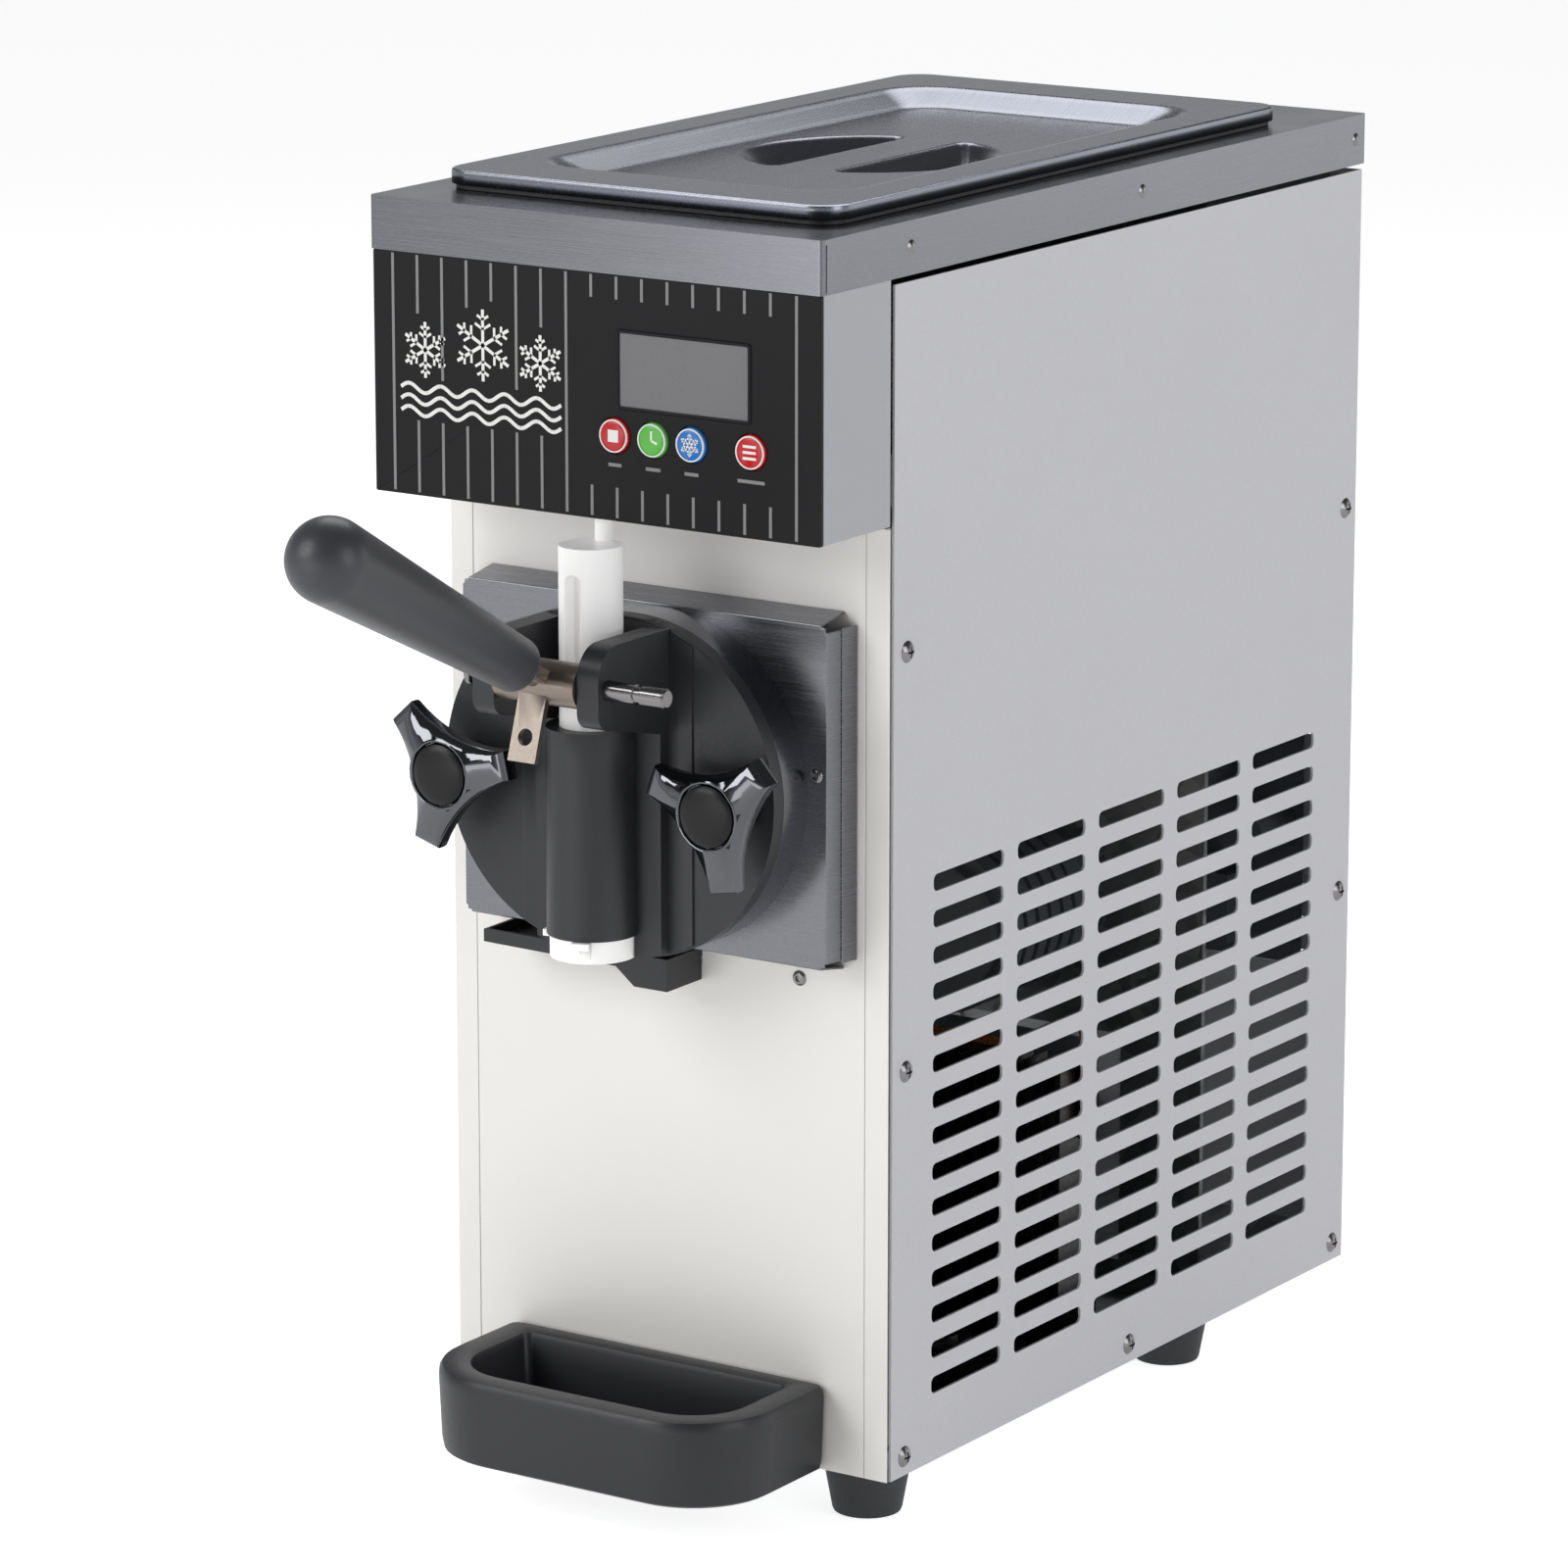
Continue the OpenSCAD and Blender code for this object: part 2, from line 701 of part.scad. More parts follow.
// one ear as a side outline with a round nose
module ear_outline() {
    nose = pivot_out + barrel_out + 8.5;
    top_r = 15;
    low_r = 8;
    up = 19;
    down = 18;
    root = 29;
    translate([top_r - nose, up - top_r]) circle(r = top_r);
    translate([low_r - nose, low_r - down]) circle(r = low_r);
    polygon([[top_r - nose, up], [0, up], [0, -root], [low_r - nose, -down],
        [-nose, low_r - down], [-nose, up - top_r]]);
}

module dispensing_head() {
    ear_x = ear_gap / 2;
    plate_back = plate_y + plate_t;
    relief = 1.2;
    relief_x = 46;
    color("#2b2c30") shifted() difference() {
        union() {
            upright(plate_y, plate_back, 0, axis_z) oval(oval_r, oval_shift);
            bar_y(cyl_r - 2, plate_back - 1, plate_back + 13, 0, axis_z);
            intersection() {
                union() {
                    block([-plateau_x, plate_y - plateau_t, axis_z - oval_r],
                        [plateau_x, plate_y + 1, axis_z + 30]);
                    block([-relief_x, plate_y - relief, axis_z - oval_r],
                        [relief_x, plate_y + 1, axis_z + oval_r]);
                }
                upright(plate_y - plateau_t - 1, plate_back, 0, axis_z) oval(oval_r - 1.2, oval_shift);
            }
            difference() {
                bar_z(barrel_r, barrel_low, barrel_top, 0, barrel_y);
                block([-barrel_r, plate_back - 0.01, barrel_low - 1], [barrel_r, shroud_y, barrel_top + 1]);
            }
            for (s = [-1, 1]) translate([s > 0 ? ear_x : -ear_x - ear_t, plate_y + 1, pivot_z])
                rotate([90, 0, 90]) linear_extrude(ear_t) ear_outline();
        }
        bar_z(plunger_r + run_fit, barrel_low - 1, barrel_top + 1, 0, barrel_y);
        bar_z(plunger_r + 0.8, barrel_top, axis_z + 90, 0, barrel_y);
        bar_y(port_r, barrel_y, plate_back + 20, 0, port_z);
        bar_z(notch_r, axis_z - oval_r - 1, barrel_low, 0, barrel_y);
        block([-notch_r / 2, barrel_y, axis_z - oval_r - 1], [notch_r / 2, plate_back + 1, barrel_low]);
        bar_x(pin_r + run_fit, -50, 50, pivot_y, pivot_z);
        for (x = [-knob_x, knob_x]) bar_y(stud_r + 0.5, plate_y - 1 - relief, plate_back + 1, x, axis_z);
        bar_y(6 + run_fit, plate_back + 3, plate_back + 20, 0, axis_z);
        difference() {
            bar_y(cyl_r, plate_back + 5, plate_back + 8, 0, axis_z);
            bar_y(cyl_r - 3.3, plate_back + 4, plate_back + 9, 0, axis_z);
        }
    }
}

module head_seal() {
    color("#3c3c40") shifted() translate([0, plate_y + plate_t + 6.5, axis_z]) rotate([90, 0, 0])
        rotate_extrude() translate([cyl_r - 1.75, 0]) circle(r = 1.45);
}

module mounting_studs() {
    color("silver") shifted() for (x = [-knob_x, knob_x])
        bar_y(stud_r, shroud_y - stud_len, shroud_y - 4, x, axis_z);
}

// a three-lobed hand knob; the outline has hollow sides
module knob_outline() {
    tip = 5.5;
    waist = 17.5;
    corner = norm([knob_reach, tip]);
    spread = 60 - atan2(tip, knob_reach);
    half = corner * sin(spread);
    sag = corner * cos(spread) - waist;
    hollow = (half * half + sag * sag) / (2 * sag);
    difference() {
        polygon([for (a = [0:120:240], s = [-1, 1])
            [knob_reach * cos(a) - s * tip * sin(a), knob_reach * sin(a) + s * tip * cos(a)]]);
        for (a = [60:120:300]) rotate(a) translate([waist + hollow, 0]) circle(r = hollow, $fn = 180);
    }
}

knob_y0 = shroud_y - 57;
module star_knob(x, turn) {
    shifted() difference() {
        union() {
            upright(knob_y0 + 2, knob_y0 + 14, x, axis_z) rotate(turn) knob_outline();
            bar_y(16.5, knob_y0 + 0.6, knob_y0 + 14, x, axis_z);
            bar_y(11, knob_y0 + 13, plate_y - 0.3, x, axis_z);
        }
        bar_y(stud_r + run_fit, knob_y0 + 5, plate_y + 1, x, axis_z);
        bar_y(14.2, knob_y0 - 1, knob_y0 + 3, x, axis_z);
    }
}

module knob_cap(x) {
    dome_r = 60;
    color("#1d1d1f") shifted() intersection() {
        translate([x, knob_y0 - 0.6 + dome_r, axis_z]) sphere(r = dome_r, $fn = 128);
        bar_y(14.1, knob_y0 - 2, knob_y0 + 3, x, axis_z);
    }
}

module left_knob() {
    color("#c8c9cc") star_knob(-knob_x, 13);
}

module left_knob_cap() {
    knob_cap(-knob_x);
}

module right_knob() {
    color("#c8c9cc") star_knob(knob_x, 40);
}

module right_knob_cap() {
    knob_cap(knob_x);
}

// ---------- plunger and nozzle ----------
finger_rest = -lever_swing / 2;
tip_y = pivot_y + finger_l * cos(finger_rest);
tip_z = pivot_z + finger_l * sin(finger_rest);
tip_r = 4;
seal_zs = [barrel_top - 14, port_z + 22];

module plunger() {
    groove_w = 9;
    groove_top = plunger_top - 16;
    front = barrel_y - plunger_r;
    color("#f4f3f0") shifted() difference() {
        bar_z(plunger_r, plunger_low, plunger_top, 0, barrel_y);
        block([-groove_w / 2, front - 1, tip_z - tip_r - 0.5], [groove_w / 2, tip_y + tip_r + 0.9,
            tip_z + tip_r + 0.4]);
        block([-groove_w / 2, front - 1, tip_z], [groove_w / 2, front + groove_d, groove_top]);
        bar_y(groove_w / 2, front - 1, front + groove_d, 0, groove_top);
        for (z = seal_zs) difference() {
            bar_z(plunger_r + 1, z - 1.6, z + 1.6, 0, barrel_y);
            bar_z(plunger_r - 2.6, z - 2, z + 2, 0, barrel_y);
        }
    }
}

module plunger_seals() {
    color("#3c3c40") shifted() for (z = seal_zs)
        translate([0, barrel_y, z]) rotate_extrude() translate([plunger_r - 1.3, 0]) circle(r = 1.28);
}

// twist-lock ring with a star-shaped outlet
module nozzle_cap() {
    z1 = barrel_low - 0.3;
    z0 = z1 - 10;
    color("#f0f0f4") shifted() translate([0, barrel_y, 0]) {
        difference() {
            bar_z(nozzle_r, z0, z1);
            bar_z(nozzle_r - 3, z0 + 3, z1 + 1);
            translate([0, 0, z0 - 1]) linear_extrude(6)
                polygon([for (i = [0:11]) (i % 2 == 0 ? 12 : 7) * [cos(i * 30), sin(i * 30)]]);
        }
        for (a = [190, 290]) rotate(a) block([nozzle_r - 1, -4, z1 - 3], [nozzle_r + 3.5, 4, z1]);
    }
}

// ---------- draw lever ----------
// local frame of the lever: pivot at the origin, +Y runs out along the grip
module lever_frame() {
    translate([0, pivot_y, pivot_z]) rotate([-lever_rise, 0, 0]) mirror([0, 1, 0]) children();
}

module lever() {
    hub_r = 10;
    hub_x = ear_gap / 2 - 0.5;
    tang_r = 5;
    tab_w = 14.5;
    color("#b5b2ae") shifted() difference() {
        union() {
            bar_x(hub_r, -hub_x, hub_x, pivot_y, pivot_z);
            lever_frame() {
                bar_y(tang_r, 6, 70);
                block([-7.8, 5, -2.8], [7.8, 20.8, 2.8]);
            }
            translate([0, pivot_y - 6, pivot_z - 4]) rotate([-18, 0, 0])
                block([-tab_w / 2, -3, -31], [tab_w / 2, 0, 1]);
            translate([0, pivot_y, pivot_z]) rotate([finger_rest, 0, 0])
                block([-3.4, 6, -3], [3.4, finger_l, 3]);
            bar_x(tip_r, -tip_r, tip_r, tip_y, tip_z);
        }
        bar_x(pin_r + run_fit, -50, 50, pivot_y, pivot_z);
        translate([0, pivot_y - 6, pivot_z - 4]) rotate([-18, 0, 0]) bar_y(3.8, -10, 6, 0, -20);
    }
}

module grip() {
    start = 21.2;
    nose = 4;
    a = asin((ball_r - grip_r) / (grip_reach - start));
    color("#3a3b3f") shifted() lever_frame() difference() {
        rotate([-90, 0, 0]) union() {
            rotate_extrude() polygon([[0, start], [grip_r - nose, start],
                [grip_r - 0.3 * nose, start + 0.3 * nose], [grip_r, start + nose],
                [ball_r * cos(a), grip_reach - ball_r * sin(a)], [0, grip_reach - ball_r * sin(a)]]);
            translate([0, 0, grip_reach]) sphere(r = ball_r);
        }
        bar_y(5.05, start - 1, 71);
    }
}

module pivot_pin() {
    x0 = -ear_gap / 2 - ear_t - 3;
    x1 = 65;
    color("silver") shifted() difference() {
        union() {
            bar_x(pin_r, x0, x1, pivot_y, pivot_z);
            bar_x(pin_r + 2, x0 - 3, x0, pivot_y, pivot_z);
        }
        difference() {
            bar_x(pin_r + 1, x1 - 16, x1 - 13, pivot_y, pivot_z);
            bar_x(pin_r - 0.8, x1 - 17, x1 - 12, pivot_y, pivot_z);
        }
    }
}

// ---------- trays ----------
// a sloping chute whose right end drops lower as a spout
module leak_tray() {
    depth = 28;
    wall = 2;
    right = 19;
    left = -82;
    shallow = 6;
    deep = 15;
    color("#2c2d31") shifted() difference() {
        union() {
            upright(front_y - depth, front_y - 0.4, 0, leak_z)
                polygon([[left, 0], [right, 0], [right, -deep], [1, -deep], [-9, -shallow - 1],
                    [left, -shallow]]);
            block([left, front_y - 0.5, leak_z - shallow], [right - 3, front_y + 60, leak_z]);
        }
        block([left + wall, front_y - depth + wall, leak_z - shallow + wall],
            [right - 3 - wall, front_y + 58, leak_z + 1]);
        block([3, front_y - depth + wall, leak_z - deep + wall], [right - wall, front_y - 4, leak_z + 1]);
        bar_z(4, leak_z - deep - 1, leak_z, 10, front_y - 16);
    }
}

// plan outline of the tray: straight back, large round front corners
module tray_plan(inset) {
    w = tray_w - 2 * inset;
    d = tray_out - 2 * inset;
    r = 42;
    translate([-w / 2, -d]) {
        translate([r, 0]) square([w - 2 * r, d]);
        translate([0, r]) square([w, d - r]);
        for (x = [r, w - r]) translate([x, r]) circle(r = r, $fn = 96);
    }
}

module drip_tray() {
    back = front_y - 0.5;
    color("#3b3c41") shifted() {
        difference() {
            translate([0, back, tray_z]) linear_extrude(tray_h) tray_plan(0);
            translate([0, back - tray_wall, tray_z + tray_wall]) linear_extrude(tray_h)
                tray_plan(tray_wall);
        }
        for (x = [-50, 50])
            block([x - 5, back - 1, tab_z - 2], [x + 5, back + 9, tab_z + 2]);
    }
}

// ---------- drive ----------
module drive_bulkhead() {
    color("#9a9ca0") shifted() difference() {
        block([-105, bulkhead_y, base_z + sheet_t], [105, bulkhead_y + bulkhead_t, axis_z + 60]);
        bar_y(14, bulkhead_y - 1, bulkhead_y + 5, 0, axis_z);
        bar_y(14, bulkhead_y - 1, bulkhead_y + 5, 0, motor_z);
        block([-60, bulkhead_y - 1, base_z + 18], [60, bulkhead_y + 5, motor_z - 60]);
    }
}

module gear_reducer() {
    y0 = bulkhead_y - 58;
    color("#a9abb0") shifted() difference() {
        union() {
            bar_y(40, y0, bulkhead_y, 0, axis_z);
            upright(bulkhead_y - 10, bulkhead_y, 0, axis_z) soft_rect(100, 100, 12);
            bar_y(18, y0 - 6, y0, 0, axis_z);
            bar_y(13.5, bulkhead_y, bulkhead_y + 10, 0, axis_z);
        }
        bar_y(6 + run_fit, y0 - 7, bulkhead_y - 39, 0, axis_z);
        bar_y(6 + run_fit, bulkhead_y - 20, bulkhead_y + 11, 0, axis_z);
    }
}

// a belt wheel with a flat-bottomed groove, on its own shaft
module belt_wheel(r, z, shaft_r, shaft_y) {
    rim = 2.5;
    shifted() {
        difference() {
            bar_y(r + rim, belt_y - belt_w / 2 - 2, belt_y + belt_w / 2 + 2, 0, z);
            difference() {
                bar_y(r + rim + 1, belt_y - belt_w / 2, belt_y + belt_w / 2, 0, z);
                bar_y(r, belt_y - belt_w, belt_y + belt_w, 0, z);
            }
            if (r > 30) for (a = [0:72:288])
                translate([0, 0, z]) rotate([0, a, 0]) bar_y(9, belt_y - 20, belt_y + 20, 28, 0);
        }
        bar_y(shaft_r, shaft_y, belt_y, 0, z);
    }
}

module gearbox_pulley() {
    color("#8d8f94") belt_wheel(big_r, axis_z, 6, bulkhead_y - 19);
}

module motor_pulley() {
    color("#8d8f94") belt_wheel(small_r, motor_z, 5, bulkhead_y - 18);
}

module drive_motor() {
    y0 = bulkhead_y - 72;
    color("#5b6068") shifted() difference() {
        union() {
            bar_y(motor_r, y0, bulkhead_y, 0, motor_z);
            bar_y(motor_r - 8, y0 - 5, y0, 0, motor_z);
            bar_y(13.5, bulkhead_y, bulkhead_y + 8, 0, motor_z);
        }
        bar_y(5 + run_fit, bulkhead_y - 20, bulkhead_y + 9, 0, motor_z);
        for (i = [1:5]) difference() {
            bar_y(motor_r + 1, y0 + i * 11, y0 + i * 11 + 4, 0, motor_z);
            bar_y(motor_r - 2, y0 + i * 11 - 1, y0 + i * 11 + 5, 0, motor_z);
        }
    }
}

// outline of an open belt round both wheels
module belt_outline(extra) {
    hull() {
        circle(r = big_r + extra, $fn = 72);
        translate([0, motor_z - axis_z]) circle(r = small_r + extra, $fn = 48);
    }
}

module drive_belt() {
    color("#1b1b1d") shifted() upright(belt_y - belt_w / 2 + 1, belt_y + belt_w / 2 - 1, 0, axis_z)
        difference() {
            belt_outline(4);
            belt_outline(0.4);
        }
}

// ---------- refrigeration ----------
module compressor() {
    h = 150;
    color("#1c1d20") shifted() translate([0, comp_y, base_z + sheet_t]) {
        difference() {
            block([-75, -50, 8], [75, 50, 11]);
            for (x = [-66, 66], y = [-40, 40]) bar_z(4, 0, 20, x, y);
        }
        for (x = [-66, 66], y = [-40, 40]) translate([x, y, 0]) difference() {
            cylinder(r = 9, h = 8);
            translate([0, 0, -1]) cylinder(r = 4, h = 10);
        }
        rotate_extrude() polygon([[0, 11], [comp_r - 6, 11], [comp_r - 6, 20], [comp_r - 2, 30],
            [comp_r - 2, 84], [comp_r, 84], [comp_r, 90], [comp_r - 3, 90], [comp_r - 4, 120],
            [comp_r - 18, 140], [comp_r - 38, h], [0, h]]);
        bar_x(13, comp_r - 10, comp_r + 8, 0, 62);
    }
}

module condenser() {
    fins = 26;
    w = 196;
    y0 = fan_y - 42;
    y1 = fan_y - 14;
    z0 = base_z + 4;
    z1 = base_z + 150;
    color("#b98a5a") shifted() {
        for (i = [0:fins])
            block([-w / 2 + i * w / fins - 0.5, y0, z0 + 2], [-w / 2 + i * w / fins + 0.5, y1, z1 - 2]);
        for (x = [-w / 2 - 4, w / 2 + 1]) block([x, y0 - 3, z0], [x + 3, y1 + 3, z1]);
        for (i = [0:5]) bar_x(4, -w / 2 - 4, w / 2 + 4, (y0 + y1) / 2, z0 + 16 + i * 23);
    }
}

module fan_blade() {
    color("#2e2f33") shifted() translate([0, fan_y, fan_z]) {
        difference() {
            bar_y(18, -6, 8);
            bar_y(3 + run_fit, -4, 9);
        }
        for (a = [0:72:288]) rotate([0, a, 0])
            translate([36, 0, 0]) rotate([28, 0, 0]) cube([fan_r - 16, 2, 30], center = true);
    }
}

module fan_motor() {
    color("#4a4d52") shifted() translate([0, fan_y, fan_z]) {
        bar_y(28, 14, 54);
        bar_y(3, -3, 15);
        for (a = [45:90:315]) rotate([0, a, 0]) block([24, 16, -3], [fan_r + 14, 19, 3]);
        difference() {
            upright(16, 19) soft_rect(160, 140, 8);
            bar_y(fan_r + 5, 0, 30);
        }
    }
}

module refrigerant_pipes() {
    $fn = 24;
    r = 3;
    z0 = base_z + sheet_t;
    cond_y = fan_y - 28;
    color("#b87333") shifted() {
        pipe_run([[40, comp_y + 30, z0 + 152], [40, comp_y + 30, z0 + 172], [105, comp_y + 30, z0 + 172],
            [105, cond_y, z0 + 172], [105, cond_y, z0 + 112]], r);
        pipe_run([[-40, comp_y + 30, z0 + 152], [-40, comp_y + 30, z0 + 178],
            [-104, comp_y + 30, z0 + 178], [-104, comp_y + 30, z0 + 290], [-90, comp_y + 30, z0 + 290]], r);
        pipe_run([[-106, cond_y, z0 + 30], [-106, cond_y, z0 + 200], [-106, cond_y + 30, z0 + 200],
            [-106, cond_y + 30, z0 + 250]], r);
        bar_z(11, z0 + 206, z0 + 240, -100, cond_y + 30);
    }
}

module power_board() {
    y0 = belt_y + 20;
    color("#2a6b45") shifted() {
        block([20, back_y - 14, base_z + 150], [100, back_y - 12.4, base_z + 270]);
        block([30, back_y - 34, base_z + 160], [70, back_y - 14, base_z + 195]);
        bar_y(12, back_y - 48, back_y - 14, 85, base_z + 220);
        block([26, y0, base_z + 240], [60, back_y - 14, base_z + 262]);
    }
}

// recessed mains socket and the housing of the rocker switch, on one bezel
inlet_z = base_z + 50;
inlet_x = -70;
rocker_x = -32;
rocker_y = back_y - 8;
rocker_pin = 1.5;
rocker_tilt = 8;
module power_inlet() {
    color("#1d1d1f") shifted() difference() {
        union() {
            block([inlet_x - 13.9, back_y - 24, inlet_z - 9.9], [inlet_x + 13.9, back_y, inlet_z + 9.9]);
            block([rocker_x - 9.9, back_y - 20, inlet_z - 11.9], [rocker_x + 9.9, back_y, inlet_z + 11.9]);
            block([inlet_x - 24, back_y, inlet_z - 16], [rocker_x + 14, back_y + 1, inlet_z + 16]);
        }
        block([inlet_x - 12, back_y - 16, inlet_z - 8], [inlet_x + 12, back_y + 2, inlet_z + 8]);
        block([rocker_x - 8.9, back_y - 16, inlet_z - 10.9], [rocker_x + 8.9, back_y + 2, inlet_z + 10.9]);
        bar_x(rocker_pin + run_fit, rocker_x - 12, rocker_x + 12, rocker_y, inlet_z);
    }
    color("#d8c27a") shifted() for (d = [[-7, -3], [0, 3], [7, -3]])
        block([inlet_x + d[0] - 1, back_y - 17, inlet_z + d[1] - 2],
            [inlet_x + d[0] + 1, back_y - 3, inlet_z + d[1] + 2]);
}

module power_switch() {
    half = 9.8;
    apex = 4.5;
    low = 4;
    rise = half * tan(rocker_tilt);
    color("#26262a") shifted() translate([rocker_x, rocker_y, inlet_z]) rotate([rocker_tilt, 0, 0]) {
        translate([-8.5, 0, 0]) rotate([90, 0, 90]) linear_extrude(17)
            polygon([[apex, 0], [apex + rise, half], [0, half], [-low, 4], [-low, -4], [0, -half],
                [apex + rise, -half]]);
        bar_x(rocker_pin, -9.8, 9.8, 0, 0);
    }
}

// ---------- the assembly ----------
base_plate();
feet();
corner_posts();
front_panel();
left_side_panel();
right_side_panel();
rear_panel();
side_screws();
top_cap();
cap_rivets();
head_shell();
control_fascia();
display_window();
stop_button();
auto_button();
cool_button();
defrost_button();
control_board();
microswitch();
switch_pin();
hopper_pan();
air_tube();
lid();
lid_gasket();
freezing_cylinder();
evaporator_coil();
insulation();
beater();
scraper_blades();
shaft_seal();
head_shroud();
dispensing_head();
head_seal();
mounting_studs();
left_knob();
left_knob_cap();
right_knob();
right_knob_cap();
plunger();
plunger_seals();
nozzle_cap();
lever();
grip();
pivot_pin();
leak_tray();
drip_tray();
drive_bulkhead();
gear_reducer();
gearbox_pulley();
drive_motor();
motor_pulley();
drive_belt();
compressor();
condenser();
fan_blade();
fan_motor();
refrigerant_pipes();
power_board();
power_inlet();
power_switch();
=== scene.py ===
# %% [markdown]
# # A countertop soft-serve ice cream maker
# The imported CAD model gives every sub-part its true size and place. This script dresses it: sheet metal gets
# its folds and brushing, mouldings get their soft edges, and each finish is a small node material.

# %% Load the frame
import json
import math

import bmesh
import bpy
from mathutils import Matrix, Vector


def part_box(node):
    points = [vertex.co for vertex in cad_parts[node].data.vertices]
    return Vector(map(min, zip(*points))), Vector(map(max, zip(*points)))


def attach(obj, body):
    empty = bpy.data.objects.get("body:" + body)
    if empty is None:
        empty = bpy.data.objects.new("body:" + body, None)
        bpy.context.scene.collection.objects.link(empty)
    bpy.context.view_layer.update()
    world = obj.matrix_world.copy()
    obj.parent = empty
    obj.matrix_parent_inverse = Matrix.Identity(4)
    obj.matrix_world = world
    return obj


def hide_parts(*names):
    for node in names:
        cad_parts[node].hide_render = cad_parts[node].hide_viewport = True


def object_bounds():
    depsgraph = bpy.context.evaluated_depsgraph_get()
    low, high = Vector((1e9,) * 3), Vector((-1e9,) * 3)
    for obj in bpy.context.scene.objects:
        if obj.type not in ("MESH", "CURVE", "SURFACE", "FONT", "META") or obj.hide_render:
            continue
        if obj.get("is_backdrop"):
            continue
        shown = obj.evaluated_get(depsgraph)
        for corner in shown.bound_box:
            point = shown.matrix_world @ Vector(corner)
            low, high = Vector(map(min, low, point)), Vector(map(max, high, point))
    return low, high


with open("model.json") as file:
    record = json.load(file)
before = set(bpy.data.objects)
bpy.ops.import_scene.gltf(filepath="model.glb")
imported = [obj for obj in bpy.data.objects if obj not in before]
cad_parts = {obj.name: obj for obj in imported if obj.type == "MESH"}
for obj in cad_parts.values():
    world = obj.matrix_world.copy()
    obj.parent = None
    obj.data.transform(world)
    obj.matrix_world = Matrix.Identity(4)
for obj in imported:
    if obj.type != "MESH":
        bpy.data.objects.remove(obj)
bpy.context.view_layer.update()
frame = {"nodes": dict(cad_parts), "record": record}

MM = 0.001
SLOT_OF = {s["node"]: s["material_slot"] for s in frame["record"]["subparts"]}
BODY_OF = {n: b for b, ns in frame["record"]["behaviour"]["bodies"].items() for n in ns}

# %% [markdown]
# Almost everything here is measured from a few planes of the cabinet: the top of the cap, its front edge, the
# front panel and the axis of the freezing cylinder. Taking them from the CAD boxes keeps the pieces in place.

# %% Datums of the machine
cap_low, cap_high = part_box("top_cap")
panel_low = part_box("front_panel")[0]
flange_low, flange_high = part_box("freezing_cylinder")
pin_low, pin_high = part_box("pivot_pin")

TOP = cap_high.z
CAP_FRONT = cap_low.y
CAP_MIDDLE = (cap_low.y + cap_high.y) / 2
FRONT = panel_low.y
AXIS = (flange_low.z + flange_high.z) / 2
PIVOT = Vector((0, (pin_low.y + pin_high.y) / 2, (pin_low.z + pin_high.z) / 2))
print("top", round(TOP, 4), "front panel", round(FRONT, 4), "cylinder axis", round(AXIS, 4))

# %% [markdown]
# The camera stands to the right of the machine and a little above it, far off with a long lens, so that the
# upright edges stay nearly parallel, as in a catalogue picture.

# %% Camera
VIEW_TURN = math.radians(33.64)
VIEW_RISE = math.radians(13.36)
VIEW_DISTANCE = 3.3094
AIM_SIDE = -0.0573
AIM_DROP = 0.3067
LENS_MM = 159.9
SENSOR_MM = 36

target = Vector((AIM_SIDE, CAP_MIDDLE, TOP - AIM_DROP))
away = Vector((math.sin(VIEW_TURN) * math.cos(VIEW_RISE),
               -math.cos(VIEW_TURN) * math.cos(VIEW_RISE),
               math.sin(VIEW_RISE)))

camera_data = bpy.data.cameras.new("catalogue_camera")
camera_data.lens = LENS_MM
camera_data.sensor_width = SENSOR_MM
camera = bpy.data.objects.new("catalogue_camera", camera_data)
camera.location = target + away * VIEW_DISTANCE
camera.rotation_mode = "QUATERNION"
camera.rotation_quaternion = (-away).to_track_quat("-Z", "Y")
bpy.context.scene.collection.objects.link(camera)
bpy.context.scene.camera = camera
print("camera at", [round(c, 3) for c in camera.location])

# %% [markdown]
# ## Finishes
# Every finish is a node tree built from a few repeated steps, so one function adds a node with its settings
# and links. Colours are written as the hex values of a paint card and turned into linear light here.

# %% Node and colour helpers
def linear(hex_code):
    """The linear RGBA of an sRGB hex colour."""
    parts = [int(hex_code[i:i + 2], 16) / 255 for i in (1, 3, 5)]
    return [c / 12.92 if c <= 0.04045 else ((c + 0.055) / 1.055) ** 2.4 for c in parts] + [1.0]


def add(tree, kind, inputs=None, **settings):
    """A node with its settings; an input given as a socket is linked, any other value is set."""
    node = tree.nodes.new(kind)
    for name, value in settings.items():
        setattr(node, name, value)
    for name, value in (inputs or {}).items():
        if isinstance(value, bpy.types.NodeSocket):
            tree.links.new(value, node.inputs[name])
        else:
            node.inputs[name].default_value = value
    return node


def per_metre(size_mm):
    """The texture scale that gives features of this size."""
    return 1000 / size_mm


# %% [markdown]
# Most real surfaces are one material with a fine relief and a slow drift in colour and gloss. This function
# makes that body of a finish: a grain of a real size, stretched where the maker's tool ran in one direction,
# and wide faint patches where handling and cleaning have changed the surface.

# %% The common body of a finish
FINISH = {}
PATCH_MM = 90


